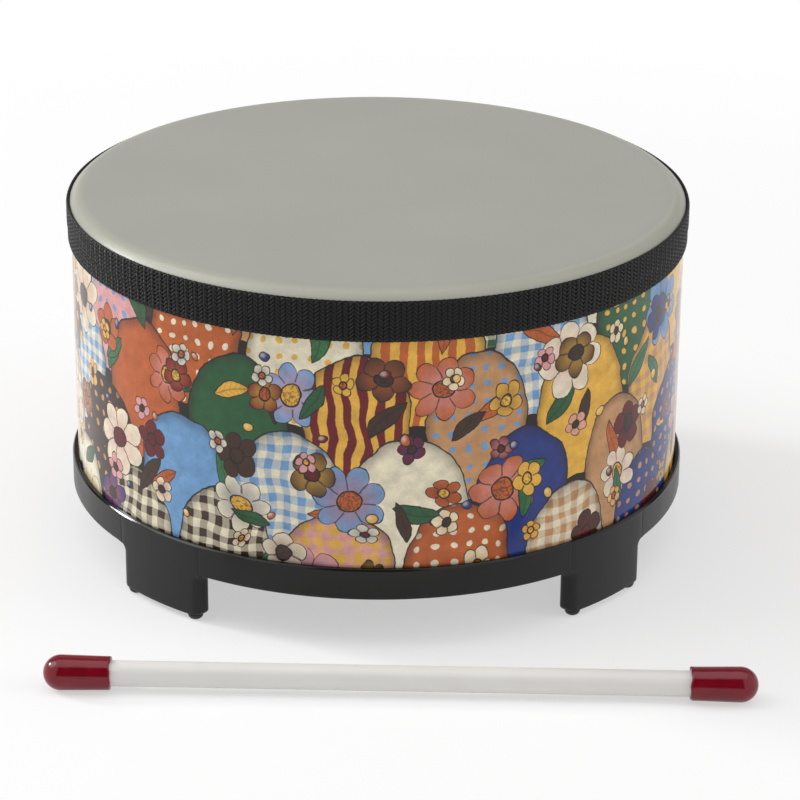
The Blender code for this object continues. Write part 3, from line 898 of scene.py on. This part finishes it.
def build_shell(settings, head):
    """Tube whose top edge follows the inside of the head's collar."""
    edge = collar_profile(head, HEAD_THICKNESS + SEAT_GAP)
    edge = edge[edge[:, 0] > SHELL_BORE + 0.0006]
    bottom, bend = SHELL_LOW.z, 0.0004
    corners = [
        *np.column_stack([edge, np.zeros(len(edge))]),
        (SHELL_RADIUS, 0.13, 0.0),
        (SHELL_RADIUS, 0.06, 0.0),
        (SHELL_RADIUS, bottom, bend),
        (SHELL_BORE, bottom, bend),
        (SHELL_BORE, 0.05, 0.0),
        (SHELL_BORE, 0.09, 0.0),
        (SHELL_BORE, edge[0, 1], bend),
    ]
    skin = Skin()
    skin.grid(turned(rounded(corners, steps=3), whole_turn(180)), close_rows=True, close_columns=True)
    skin.piece("fibre_shell", board_finish(settings), "shell")


def foot_levels(settings):
    """Heights of a foot's rows up its wall and fillet, and how much wider the foot is at each."""
    bends = np.radians([90.0, 79, 68, 56, 44, 32, 20, 9, 0])
    fillet = RING_BOTTOM - settings.fillet * (1 - np.cos(bends))
    wall = [FOOT_BOTTOM + 0.0022, 0.009, 0.014, 0.0169]
    heights = np.unique(np.round(np.r_[wall, fillet, POCKET_LEVELS - BORDER, POCKET_LEVELS + BORDER], 9))
    drop = np.clip(RING_BOTTOM - heights, 0, settings.fillet)
    bend = np.arccos(1 - drop / settings.fillet)
    return heights, settings.fillet * (1 - np.sin(bend))


def corner_middle(radius, bend, half):
    """Middle of a round corner between a foot's end and a circle, with a bend below 0 outside it."""
    across = half - abs(bend)
    return np.array([math.sqrt((radius - bend) ** 2 - across**2), across])


def foot_outline(settings, wider):
    """Plan of a foot at one height, once round, and each point's outward direction.

    Front: the ring's outer circle. Ends: planes along the foot's radius, met by round corners that
    touch them and the circles. Back: the inner circle, with columns at the pockets' borders.
    """
    half = settings.foot_width / 2 + wider
    front_middle = corner_middle(RING_RADIUS, settings.foot_corner, half)
    back_middle = corner_middle(FOOT_BACK, -FOOT_BACK_CORNER, half)
    first, last = (math.atan2(y, x) for x, y in (front_middle, back_middle))
    front_bends = np.linspace(first, math.pi / 2, FRONT_STEPS)
    back_bends = np.linspace(math.pi / 2, math.pi + last, 8)
    front_arc = front_middle + circle(settings.foot_corner, front_bends)
    end = np.r_[front_arc, back_middle + circle(FOOT_BACK_CORNER, back_bends)]
    end_out = circle(1.0, np.r_[front_bends, back_bends])
    near, far = POCKET_SIDES
    columns = [near - BORDER, near + BORDER, 0.005, 0.009, far - BORDER, far + BORDER]
    columns = np.array(columns) / FOOT_BACK
    columns = np.r_[columns, columns[-1] + (last - columns[-1]) * np.array([0.3, 0.65])]
    back_turns = np.r_[columns[::-1], -columns]
    front_turns = np.linspace(-first, first, len(back_turns) + 2)[1:-1]
    front, back = circle(RING_RADIUS, front_turns), circle(FOOT_BACK, back_turns)
    plan = np.r_[front, end, back, end[::-1] * MIRROR]
    out = np.r_[circle(1.0, front_turns), end_out, -circle(1.0, back_turns), end_out[::-1] * MIRROR]
    return plan, out, (len(front), len(end), len(back))


def add_feet(skin, settings):
    """Four feet: a toe that rolls in below, and rows of the outline up the wall and its fillet.

    Toe: moved in by toe x (1 - sin t) and up by toe x (1 - cos t). The toe's size grows from the
    front and back to the ends. Pockets move the back's points out where they are inside both borders.
    """
    plan, out, (front, end, rear) = foot_outline(settings, 0.0)
    ends = np.zeros(len(plan))
    ramps = np.r_[np.linspace(0, 1, FRONT_STEPS), np.linspace(1, 0, end - FRONT_STEPS)]
    ends[front : front + end] = smooth_step(ramps)
    ends[-end:] = smooth_step(ramps)[::-1]
    least = 0.0007
    size = least + (settings.toe - least) * ends
    rows = []
    for bend in np.radians([0.0, 18, 36, 54, 72, 90]):
        inset = size * (1 - math.sin(bend))
        height = FOOT_BOTTOM + size * (1 - math.cos(bend))
        rows.append(np.column_stack([plan - out * inset[:, None], height]))
    for level, wide in zip(*foot_levels(settings)):
        ring = foot_outline(settings, wide)[0]
        part = ring[front + end : front + end + rear]
        side = np.abs(np.arctan2(part[:, 1], part[:, 0]) * FOOT_BACK)
        deep = (side > POCKET_SIDES[0]) & (side < POCKET_SIDES[1])
        if POCKET_LEVELS[0] < level < POCKET_LEVELS[1]:
            part *= (1 + deep * POCKET_DEPTH / FOOT_BACK)[:, None]
        rows.append(at_height(ring, level))
    for turn in FOOT_TURNS:
        foot = spun(turn, rows)
        skin.grid(foot, close_columns=True)
        skin.flat(foot[0])


def build_ring(settings):
    """Channel ring and feet, welded into one closed skin.

    The channel's profile is turned, but its columns slide from the angles of the feet's fronts on
    the outside to those of their backs in the bore. Shallow grooves mark the mould's parting lines.
    """
    skin = Skin()
    add_feet(skin, settings)
    top, _, (front, end, rear) = foot_outline(settings, settings.fillet)
    turns = np.arctan2(top[:, 1], top[:, 0])
    end_plan, rear_plan = top[front : front + end], top[front + end : front + end + rear]
    corner, back_corner = turns[front], turns[front + end - 1]
    outer_foot = np.r_[-corner, turns[:front], corner]
    inner_foot = np.r_[-back_corner, turns[front + end : front + end + rear][::-1], back_corner]
    near = np.array([0.1, 0.2, 0.3, 0.4, 0.5, 0.7, 1.1, 1.8, 3.0]) * 0.001 / RING_RADIUS
    gap = math.pi / 2 - 2 * corner
    outer_gap = np.r_[near, np.linspace(near[-1], gap - near[-1], 34)[1:-1], gap - near[::-1]]
    inner_gap = outer_gap / gap * (math.pi / 2 - 2 * back_corner)
    outer = (FOOT_TURNS[:, None] + np.r_[outer_foot, corner + outer_gap]).ravel()
    inner = (FOOT_TURNS[:, None] + np.r_[inner_foot, back_corner + inner_gap]).ravel()
    from_end = np.minimum(outer_gap, gap - outer_gap) * RING_RADIUS
    from_end = np.tile(np.r_[np.full(len(outer_foot), -0.001), from_end], 4)
    edge_bend, edge_start, edge_run = 0.0005, 0.0004, 0.003
    edge = edge_bend * smooth_step((from_end - edge_start) / edge_run)
    groove_place, groove_width = 0.0003, 0.00016
    groove = settings.groove * np.exp(-(((from_end - groove_place) / groove_width) ** 2))

    bends = np.radians([90.0, 67, 45, 22, 0])[:, None]
    low_radius = RING_RADIUS - edge * (1 - np.cos(bends))
    low_height = RING_BOTTOM + edge * (1 - np.sin(bends))
    bend, wall_inside = 0.0003, RING_RADIUS - RING_WALL
    corners = [
        (RING_RADIUS, RING_BOTTOM + 0.0012, 0.0),
        (RING_RADIUS, 0.0265, 0.0),
        (RING_RADIUS, RING_TOP - 1.05 * settings.lip, 0.0004),
        (RING_RADIUS - 0.92 * settings.lip, RING_TOP, bend),
        (wall_inside, RING_TOP, bend),
        (wall_inside, CHANNEL_FLOOR, bend),
        (CHANNEL_BORE, CHANNEL_FLOOR, bend),
        (CHANNEL_BORE, INNER_WALL_TOP, edge_bend),
        (RING_BORE, INNER_WALL_TOP, edge_bend),
        (RING_BORE, RING_BOTTOM, 0.0),
    ]
    profile = rounded(corners, closed=False, steps=5)
    outside = profile[:, :1] > RING_RADIUS - 1e-5
    radius = np.concatenate([low_radius, profile[:, :1] - outside * groove])
    height = np.concatenate([low_height, np.broadcast_to(profile[:, 1:], (len(profile), len(outer)))])
    slide = np.clip((wall_inside - radius) / (wall_inside - CHANNEL_BORE), 0, 1)
    points = np.dstack([circle(radius, outer + (inner - outer) * slide), height])
    skin.grid(points, close_columns=True)

    low, bore = points[[0, -1]]
    rear_plan = np.r_[end_plan[-1:], rear_plan, end_plan[-1:] * MIRROR]
    for number, turn in enumerate(FOOT_TURNS):
        begin, after = (np.array([number, number + 1]) * len(outer)) // 4
        past = begin + len(outer_foot)
        rear_row = spun(turn, at_height(rear_plan, RING_BOTTOM))
        skin.grid(np.stack([rear_row, bore[begin:past][::-1]]))
        this_end = spun(turn, at_height(end_plan, RING_BOTTOM))
        next_end = spun(turn + math.pi / 2, at_height(end_plan * MIRROR, RING_BOTTOM))
        inside = bore[np.arange(past - 1, after + 1) % len(bore)][::-1]
        skin.flat(np.r_[this_end[:1], low[past:after], next_end, inside, this_end[:0:-1]])
    skin.piece("moulded_base_ring", plastic_finish(settings), "base_ring", 32)


def frame_foot_width():
    """Two bumpers of a foot lie the foot's width less twice the inset apart."""
    first, second = (sum(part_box(f"foot_bumper_{number}"), Vector()) / 2 for number in (1, 2))
    return (first - second).length + 2 * BUMPER_INSET


def build_bumpers(settings):
    """Domed heads with a small flat: out = flat + rest cos t, up = seat (1 - sin t)."""
    bend = np.radians(np.linspace(0, 90, 10))
    dome_radius = BUMPER_FLAT + (settings.radius - BUMPER_FLAT) * np.cos(bend)
    dome_height = BUMPER_SEAT * (1 - np.sin(bend))
    corners = [
        (0.0, STEM_TOP, 0.0),
        (STEM_RADIUS, STEM_TOP, 0.0003),
        (STEM_RADIUS, BUMPER_SEAT, 0.0),
        (settings.radius - 0.0002, BUMPER_SEAT, 0.0),
        *np.column_stack([dome_radius, dome_height, np.zeros(10)]),
        (0.0, 0.0, 0.0),
    ]
    profile = rounded(corners, closed=False, steps=3, support=0.0001)
    finish = rubber_finish(settings)
    across = frame_foot_width() / 2 - BUMPER_INSET
    along = math.sqrt((RING_RADIUS - FOOT_DEPTH / 2) ** 2 - across**2)
    places = [(turn, side) for turn in FOOT_TURNS for side in (-1, 1)]
    for number, (turn, side) in enumerate(places, start=1):
        centre = spun(turn, [along, side * across, 0.0]) + AXIS
        skin = Skin()
        skin.grid(turned(profile, whole_turn(40)), close_columns=True)
        name = f"rubber_bumper_{number}"
        skin.piece(name, finish, f"foot_bumper_{number}", offset=centre)


def build_screws(settings):
    """Pan heads with a cross recess, pointed shanks with a rolled thread.

    Recess: depth falls off over a cross of two bars, and with distance from the middle. Thread:
    radius = shank x (1 - depth x (0.5 - 0.5 cos(2 pi x (height / pitch - angle / whole turn)))).
    """
    angles = whole_turn(48)
    pitch, depth, shank_radius, shank_end = 0.0011, 0.22, 0.0015, 0.0034
    bar_half, bar_length, head_height = 0.00048, 0.0017, 0.0022
    rings = np.linspace(0, 1, 15)
    head = np.stack([rings * 0.00312, -head_height * (1 - 0.5 * rings**2.2)], 1)
    head[-1] = (0.00314, -0.0011)
    side = [(0.0032, -0.0009), (0.0032, -0.0001), (0.0031, 0.0)]
    levels = np.linspace(0.0, shank_end, 36)
    shank = np.column_stack([np.full(len(levels), shank_radius), levels])
    tip = [(0.0005, 0.0046), (0.0, 0.0046)]
    points = turned(np.concatenate([head, side, shank, tip]), angles)
    crown = points[: len(head)]
    bar = np.abs(crown[..., :2]).min(-1)
    far = np.hypot(crown[..., 0], crown[..., 1])
    cross = smooth_step((bar_half - bar) / 0.00018) * smooth_step((bar_length - far) / 0.0005)
    crown[..., 2] += settings.recess * cross
    first = len(head) + len(side)
    wave = levels[:, None] / pitch - angles / math.tau
    fade = smooth_step((levels - 0.0002) / 0.0005)[:, None]
    cut = 1 - depth * fade * (0.5 - 0.5 * np.cos(math.tau * wave))
    points[first : first + len(levels), :, :2] *= cut[..., None]
    x, y, z = np.moveaxis(points, -1, 0)
    placed = np.stack([z + RING_BORE - SEAT_GAP, y, x + SCREW_HEIGHT], -1)
    finish = steel_finish(settings)
    for number, turn in enumerate(FOOT_TURNS, start=1):
        skin = Skin()
        skin.grid(spun(turn, placed), close_columns=True)
        skin.piece(f"ring_screw_{number}", finish, f"base_screw_{number}", 40)


def laid(points, side):
    """Points about Z laid along the mallet, their Z towards its right end or its left."""
    x, y, z = np.moveaxis(points, -1, 0)
    return spun(MALLET_TURN, np.stack([z * side, y * side, x], -1))


def build_rod(settings):
    """Plain rod with small chamfers; its map runs along it and round it, in metres."""
    half = MALLET_LENGTH / 2 - CAP_WALL - SEAT_GAP
    radius = settings.rod_radius
    corners = [
        (0.0, half, 0.0),
        (radius, half, 0.0005),
        *((radius, place, 0.0) for place in np.linspace(0.11, -0.11, 9)),
        (radius, -half, 0.0005),
        (0.0, -half, 0.0),
    ]
    profile = rounded(corners, closed=False, steps=4)
    angles = np.linspace(0, math.tau, 65)
    uv = np.stack(np.broadcast_arrays(profile[:, 1:], angles * radius), -1)
    skin = Skin()
    skin.grid(laid(turned(profile, angles), 1), uv)
    finish = rod_finish(settings)
    skin.piece("milky_rod", finish, "mallet_rod", offset=MALLET_MIDDLE, body="mallet")


def build_caps(settings):
    """Dipped sleeves: a domed tip, a slight taper, and a mouth whose lip waves as dips leave it.

    The lip's height is moved by wave x (sin 3 t + 0.6 sin 7 t), and fades out towards the tip.
    """
    tip = MALLET_LENGTH / 2
    mouth = tip - settings.cap_length
    bore = settings.rod_radius + 0.00008
    wave, mouth_radius = 0.00022, 0.00655
    bend = np.linspace(0, math.pi / 2, 20)
    dome = [CAP_RADIUS * np.sin(bend), tip - CAP_RADIUS * (1 - np.cos(bend)), np.zeros(20)]
    corners = [
        *np.transpose(dome),
        (0.00686, tip - 0.009, 0.0),
        (0.00675, tip - 0.014, 0.0),
        (0.00664, tip - 0.019, 0.0),
        (mouth_radius, mouth + 0.0022, 0.0),
        (mouth_radius, mouth, 0.0006),
        (bore, mouth, 0.0002),
        (bore, mouth + 0.012, 0.0),
        (bore, tip - CAP_WALL, 0.0004),
        (0.0, tip - CAP_WALL, 0.0),
    ]
    profile = rounded(corners, closed=False, steps=5)
    angles = whole_turn(72)
    finish = vinyl_finish(settings)
    for end, side in (("right", 1), ("left", -1)):
        points = turned(profile, angles)
        fade = smooth_step(1 - (points[..., 2] - mouth) / 0.004)
        turn = angles * side + side
        points[..., 2] += fade * wave * (np.sin(3 * turn) + 0.6 * np.sin(7 * turn) + 1.2)
        skin = Skin()
        skin.grid(laid(points, side), close_columns=True)
        node = f"mallet_cap_{end}"
        skin.piece(f"red_cap_{end}", finish, node, offset=MALLET_MIDDLE, body="mallet")


# Stage


def paper_material(settings):
    """Plain pale paper that takes the object's shadow and fades into the white world far off."""
    f = Finish("Pale studio floor")
    far = f.step(f.length(f.here()), 0.3, 0.8, 0.52, 1.0)
    glow = f.value("ShaderNodeEmission", {"Color": (1.0, 1.0, 1.0), "Strength": 1.0})
    f.finish(Base_Color=tuple(settings.floor), Roughness=1.0, Specular_IOR_Level=0.0)
    f.blend(far * f.seen(), Value(f, f.shader.outputs[0]), glow, "Material Output")
    return f.material


def build_floor(settings):
    """A wide disc under the feet."""
    rings = np.array([0.0, 0.3, 0.8, 1.5, 3.0, 6.0])
    skin = Skin()
    skin.grid(turned(at_height(rings, 0.0), whole_turn(96)), close_columns=True)
    skin.build("studio_floor", paper_material(settings))


def add_lamp(name, power, size, place, target, mirrored):
    """A rectangular area lamp that faces a point, and may be seen by mirrored rays."""
    data = bpy.data.lights.new(name, "AREA")
    data.shape = "RECTANGLE"
    data.size, data.size_y = size
    data.energy = power
    lamp = bpy.data.objects.new(name, data)
    lamp.location = place
    towards = Vector(target) - Vector(place)
    lamp.rotation_euler = towards.to_track_quat("-Z", "Y").to_euler()
    lamp.visible_glossy = mirrored
    bpy.context.scene.collection.objects.link(lamp)


def flag_cloth(steps):
    """Glowing cloth of (height, grey) steps, each joined to the next in a straight line."""
    f = Finish("Studio flag cloth")
    low, high = steps[0][0], steps[-1][0]
    made = f.node("ShaderNodeValToRGB", {0: f.line(f.split(f.here())[2], low, high)})
    band = made.color_ramp
    for height, _ in steps[1:-1]:
        band.elements.new((height - low) / (high - low))
    for element, (_, grey) in zip(band.elements, steps):
        element.color = (grey, grey, grey, 1.0)
    glow = Value(f, made.outputs[0])
    dark = {"Base_Color": (0.0, 0.0, 0.0), "Roughness": 1.0, "Specular_IOR_Level": 0.0}
    return f.finish(**dark, Emission_Color=glow, Emission_Strength=1.0)


def add_flag(name, towards, half, steps):
    """An upright panel, bent round the object, that only mirrored rays see."""
    radius, low, high = 2.6, steps[0][0], steps[-1][0]
    skin = Skin()
    skin.grid(turned([(radius, low), (radius, high)], towards + np.linspace(-half, half, 25)))
    flag = skin.build(name, flag_cloth(steps))
    flag.visible_camera = False
    flag.visible_diffuse = False
    flag.visible_shadow = False
    flag.visible_transmission = False


def build_world(settings):
    """White where it is seen or mirrored, and a plain soft level where it lights."""
    world = bpy.data.worlds.new("Studio")
    world.use_nodes = True
    nodes = Nodes(world.node_tree)
    plain = nodes.tree.nodes["Background"]
    plain.inputs["Color"].default_value = (1.0, 1.0, 1.0, 1.0)
    plain.inputs["Strength"].default_value = settings.ambient
    white = nodes.value("ShaderNodeBackground", {"Color": (1.0, 1.0, 1.0), "Strength": 1.0})
    nodes.blend(nodes.seen(), Value(nodes, plain.outputs[0]), white, "World Output")
    bpy.context.scene.world = world


def build_camera(settings):
    """Looks down on the drum from the front, a little from the left, with a slight roll."""
    pitch, roll = math.radians(settings.pitch), math.radians(0.496)
    heading, place = np.array([0.0428, 0.9991, 0.0]), (-0.04657, -1.20572, 0.5678)
    view = heading * math.cos(pitch) - np.array([0.0, 0.0, math.sin(pitch)])
    right = np.cross(view, (0.0, 0.0, 1.0))
    right /= np.linalg.norm(right)
    up = np.cross(right, view)
    side = right * math.cos(roll) + up * math.sin(roll)
    top = up * math.cos(roll) - right * math.sin(roll)
    data = bpy.data.cameras.new("Camera")
    data.lens = settings.lens
    data.sensor_width = 36.0
    data.clip_start = 0.05
    data.clip_end = 50.0
    camera = bpy.data.objects.new("Camera", data)
    placed = Matrix(np.column_stack([side, top, -view]).tolist()).to_4x4()
    placed.translation = place
    camera.matrix_world = placed
    bpy.context.scene.collection.objects.link(camera)
    bpy.context.scene.camera = camera


def build_stage(settings):
    """Floor, softbox, key, side and fill lamps, the white world and the camera."""
    bpy.context.scene.view_settings.view_transform = "Standard"
    build_floor(settings)
    add_lamp("Softbox", settings.softbox, (2.4, 1.41), (0.0, -0.105, 1.48), (0.0, -0.105, 0.0), True)
    add_lamp("Key", settings.key, (0.52, 0.52), (-2.75, 1.13, 1.5), (0.0, 0.03, 0.1), True)
    add_lamp("Side", settings.side, (1.7, 1.7), (-2.2, 0.2, 2.3), (0.0, 0.03, 0.1), True)
    add_lamp("Right", settings.right, (1.2, 1.2), (2.4, -0.7, 1.25), (0.0, 0.0, 0.1), False)
    add_lamp("Fill", settings.fill, (1.8, 1.0), (0.2, -2.2, 0.75), (0.0, 0.0, 0.05), False)
    add_flag("front_flag", math.radians(-96), math.radians(24), ((-0.5, 0.01), (4.3, 0.01)))
    rear = ((0.55, 0.02), (0.95, 0.02), (1.5, 0.6), (1.9, 0.6), (2.6, 0.25), (5.8, 0.1))
    add_flag("rear_flag", BACK, math.radians(64), rear)
    build_world(settings)
    build_camera(settings)


# Settings


class HeadSettings(bpy.types.PropertyGroup):
    """Playing head"""

    film: colour_property("Film", "Colour of the drumhead film", (0.36, 0.36, 0.32))
    stretched_and_painted_light: colour_property("Collar film with painted light", "Colour of the film over the edge", (0.4, 0.4, 0.335))
    crown: length_property("Crown", "Faint fall of the face before its collar", 0.0062)
    bend: length_property("Bend", "Length of the bend from face to shoulder", 0.0030)
    shoulder: length_property("Shoulder", "Length of the collar's shoulder", 0.0025)
    roll: length_property("Roll", "Length of the roll into the skirt", 0.0014)
    slope: FloatProperty(
        name="Slope", description="Slope of the collar's shoulder", default=0.78, min=0.2, subtype="ANGLE"
    )


class WebbingSettings(bpy.types.PropertyGroup):
    """Webbing band"""

    yarn: colour_property("Yarn", "Colour of the webbing's yarn", (0.0095, 0.0095, 0.0088))
    zigzag: length_property("Zigzag", "Length of one whole zigzag of the weave", 0.0044)
    slant: length_property("Slant", "How far a stroke climbs across its leg", 0.0020)
    relief: length_property("Relief", "Depth of the grooves between strokes", 0.0007)
    rows: IntProperty(name="Rows", description="Rows of strokes down the tape", default=10, min=2)


class WrapSettings(bpy.types.PropertyGroup):
    """Printed wrap"""

    ink: colour_property("Ink", "Colour of the drawn outlines", srgb(38, 28, 28))
    maroon: colour_property("Maroon", "Deep red of the print", srgb(112, 20, 28))
    brown: colour_property("Brown", "Dark brown of the print", srgb(66, 44, 32))
    green: colour_property("Green", "Green of the print", srgb(44, 92, 56))
    royal: colour_property("Royal Blue", "Strong blue of the print", srgb(42, 58, 128))
    sky: colour_property("Sky Blue", "Light blue of the print", srgb(112, 158, 204))
    cream: colour_property("Cream", "Palest colour of the print", srgb(236, 226, 198))
    yellow: colour_property("Yellow", "Yellow of the print", srgb(232, 178, 70))
    rust: colour_property("Rust", "Orange brown of the print", srgb(190, 96, 44))
    pink: colour_property("Pink", "Pink of the print", srgb(222, 158, 158))
    tan: colour_property("Tan", "Light brown of the print", srgb(196, 146, 100))
    scale: FloatProperty(name="Scale", description="Size of the print's motifs", default=1.0, min=0.1)
    roughness: share_property("Roughness", "Roughness of the clear gloss", 0.14)


class ShellSettings(bpy.types.PropertyGroup):
    """Fibre shell"""

    board: colour_property("Board", "Colour of the wound board", (0.30, 0.20, 0.12))


class RingSettings(bpy.types.PropertyGroup):
    """Base ring"""

    plastic: colour_property("Plastic", "Colour of the moulded plastic", (0.0085, 0.0085, 0.008))
    roughness: share_property("Roughness", "Roughness of the satin plastic", 0.34)
    foot_width: length_property("Foot Width", "Width of each foot between its ends", 0.0444)
    foot_corner: length_property("Foot Corner", "Round of each foot's upright front corners", 0.0042)
    fillet: length_property("Fillet", "Round between a foot's end and the ring's underside", 0.0035)
    toe: length_property("Toe", "Round below each foot's ends", 0.0022)
    lip: length_property("Lip", "Bevel of the ring's upper edge", 0.0007)
    groove: length_property("Groove", "Depth of the mould's parting lines", 0.00009)


class BumperSettings(bpy.types.PropertyGroup):
    """Rubber bumpers"""

    rubber: colour_property("Rubber", "Colour of the rubber", (0.022, 0.022, 0.021))
    radius: length_property("Radius", "Radius of a bumper's head", 0.0032)


class ScrewSettings(bpy.types.PropertyGroup):
    """Ring screws"""

    steel: colour_property("Steel", "Colour of the plated steel", (0.45, 0.45, 0.44))
    recess: length_property("Recess", "Depth of the cross recess", 0.0013)


class MalletSettings(bpy.types.PropertyGroup):
    """Mallet"""

    rod: colour_property("Rod", "Colour of the rod", (0.80, 0.785, 0.76))
    cap: colour_property("Caps", "Colour of the caps", (0.185, 0.0015, 0.0105))
    rod_radius: length_property("Rod Radius", "Radius of the rod", 0.0050)
    cap_length: length_property("Cap Length", "Length of each cap", 0.0262)


class StageSettings(bpy.types.PropertyGroup):
    """Studio"""

    floor: colour_property("Floor", "Colour of the floor", (0.95, 0.95, 0.95))
    ambient: FloatProperty(name="Ambient", description="Light from all round", default=0.355, min=0.0)
    softbox: power_property("Softbox", "Power of the lamp overhead", 8.0)
    key: power_property("Key", "Power of the small lamp at the left", 42.0)
    side: power_property("Side", "Power of the wide lamp at the left", 26.0)
    right: power_property("Right", "Power of the lamp at the right", 14.0)
    fill: power_property("Fill", "Power of the weak lamp in front", 2.6)
    lens: FloatProperty(name="Lens", description="Focal length in millimetres", default=141.237, min=10.0)
    pitch: FloatProperty(name="Pitch", description="Degrees that the camera looks down", default=22.70)


class FloorTomSettings(bpy.types.PropertyGroup):
    """All sizes and colours of the floor tom"""

    head: PointerProperty(type=HeadSettings)
    webbing: PointerProperty(type=WebbingSettings)
    wrap: PointerProperty(type=WrapSettings)
    shell: PointerProperty(type=ShellSettings)
    ring: PointerProperty(type=RingSettings)
    bumpers: PointerProperty(type=BumperSettings)
    screws: PointerProperty(type=ScrewSettings)
    mallet: PointerProperty(type=MalletSettings)
    stage: PointerProperty(type=StageSettings)


# Operators


class FLOORTOM_OT_stage(bpy.types.Operator):
    """Make the floor, the lamps, the world and the camera"""

    bl_idname = "floor_tom.stage"
    bl_label = "Studio"

    def execute(self, context):
        build_stage(context.scene.floor_tom.stage)
        return {"FINISHED"}


class FLOORTOM_OT_head(bpy.types.Operator):
    """Make the drumhead with its collar and skirt"""

    bl_idname = "floor_tom.head"
    bl_label = "Playing Head"

    def execute(self, context):
        build_head(context.scene.floor_tom.head)
        return {"FINISHED"}


class FLOORTOM_OT_webbing(bpy.types.Operator):
    """Make the woven band over the head's skirt"""

    bl_idname = "floor_tom.webbing"
    bl_label = "Webbing Band"

    def execute(self, context):
        build_webbing(context.scene.floor_tom.webbing)
        return {"FINISHED"}


class FLOORTOM_OT_wrap(bpy.types.Operator):
    """Make the printed wrap round the shell"""

    bl_idname = "floor_tom.wrap"
    bl_label = "Printed Wrap"

    def execute(self, context):
        build_wrap(context.scene.floor_tom.wrap)
        return {"FINISHED"}


class FLOORTOM_OT_shell(bpy.types.Operator):
    """Make the wound fibre shell"""

    bl_idname = "floor_tom.shell"
    bl_label = "Fibre Shell"

    def execute(self, context):
        settings = context.scene.floor_tom
        build_shell(settings.shell, settings.head)
        return {"FINISHED"}


class FLOORTOM_OT_ring(bpy.types.Operator):
    """Make the moulded base ring with its four feet"""

    bl_idname = "floor_tom.ring"
    bl_label = "Base Ring"

    def execute(self, context):
        build_ring(context.scene.floor_tom.ring)
        return {"FINISHED"}


class FLOORTOM_OT_bumpers(bpy.types.Operator):
    """Make the eight rubber bumpers"""

    bl_idname = "floor_tom.bumpers"
    bl_label = "Rubber Bumpers"

    def execute(self, context):
        build_bumpers(context.scene.floor_tom.bumpers)
        return {"FINISHED"}


class FLOORTOM_OT_screws(bpy.types.Operator):
    """Make the four screws inside the ring"""

    bl_idname = "floor_tom.screws"
    bl_label = "Ring Screws"

    def execute(self, context):
        build_screws(context.scene.floor_tom.screws)
        return {"FINISHED"}


class FLOORTOM_OT_mallet(bpy.types.Operator):
    """Make the mallet's rod and its two caps"""

    bl_idname = "floor_tom.mallet"
    bl_label = "Mallet"

    def execute(self, context):
        build_rod(context.scene.floor_tom.mallet)
        build_caps(context.scene.floor_tom.mallet)
        return {"FINISHED"}


OPERATORS = (
    FLOORTOM_OT_stage,
    FLOORTOM_OT_head,
    FLOORTOM_OT_webbing,
    FLOORTOM_OT_wrap,
    FLOORTOM_OT_shell,
    FLOORTOM_OT_ring,
    FLOORTOM_OT_bumpers,
    FLOORTOM_OT_screws,
    FLOORTOM_OT_mallet,
)


class FLOORTOM_PT_panel(bpy.types.Panel):
    """Lists the floor tom's pieces with their sizes and colours"""

    bl_idname = "FLOORTOM_PT_panel"
    bl_label = "Floor Tom"
    bl_space_type = "VIEW_3D"
    bl_region_type = "UI"
    bl_category = "Floor Tom"

    def draw(self, context):
        settings = context.scene.floor_tom
        for operator in OPERATORS:
            box = self.layout.box()
            box.operator(operator.bl_idname)
            group = getattr(settings, operator.bl_idname.split(".")[1])
            for name in type(group).__annotations__:
                box.prop(group, name)


CLASSES = (
    HeadSettings,
    WebbingSettings,
    WrapSettings,
    ShellSettings,
    RingSettings,
    BumperSettings,
    ScrewSettings,
    MalletSettings,
    StageSettings,
    FloorTomSettings,
    *OPERATORS,
    FLOORTOM_PT_panel,
)


def register():
    for item in CLASSES:
        bpy.utils.register_class(item)
    bpy.types.Scene.floor_tom = PointerProperty(type=FloorTomSettings)


def unregister():
    del bpy.types.Scene.floor_tom
    for item in reversed(CLASSES):
        bpy.utils.unregister_class(item)


def main():
    register()
    for operator in OPERATORS:
        getattr(bpy.ops.floor_tom, operator.bl_idname.split(".")[1])()


if __name__ == "__main__":
    main()
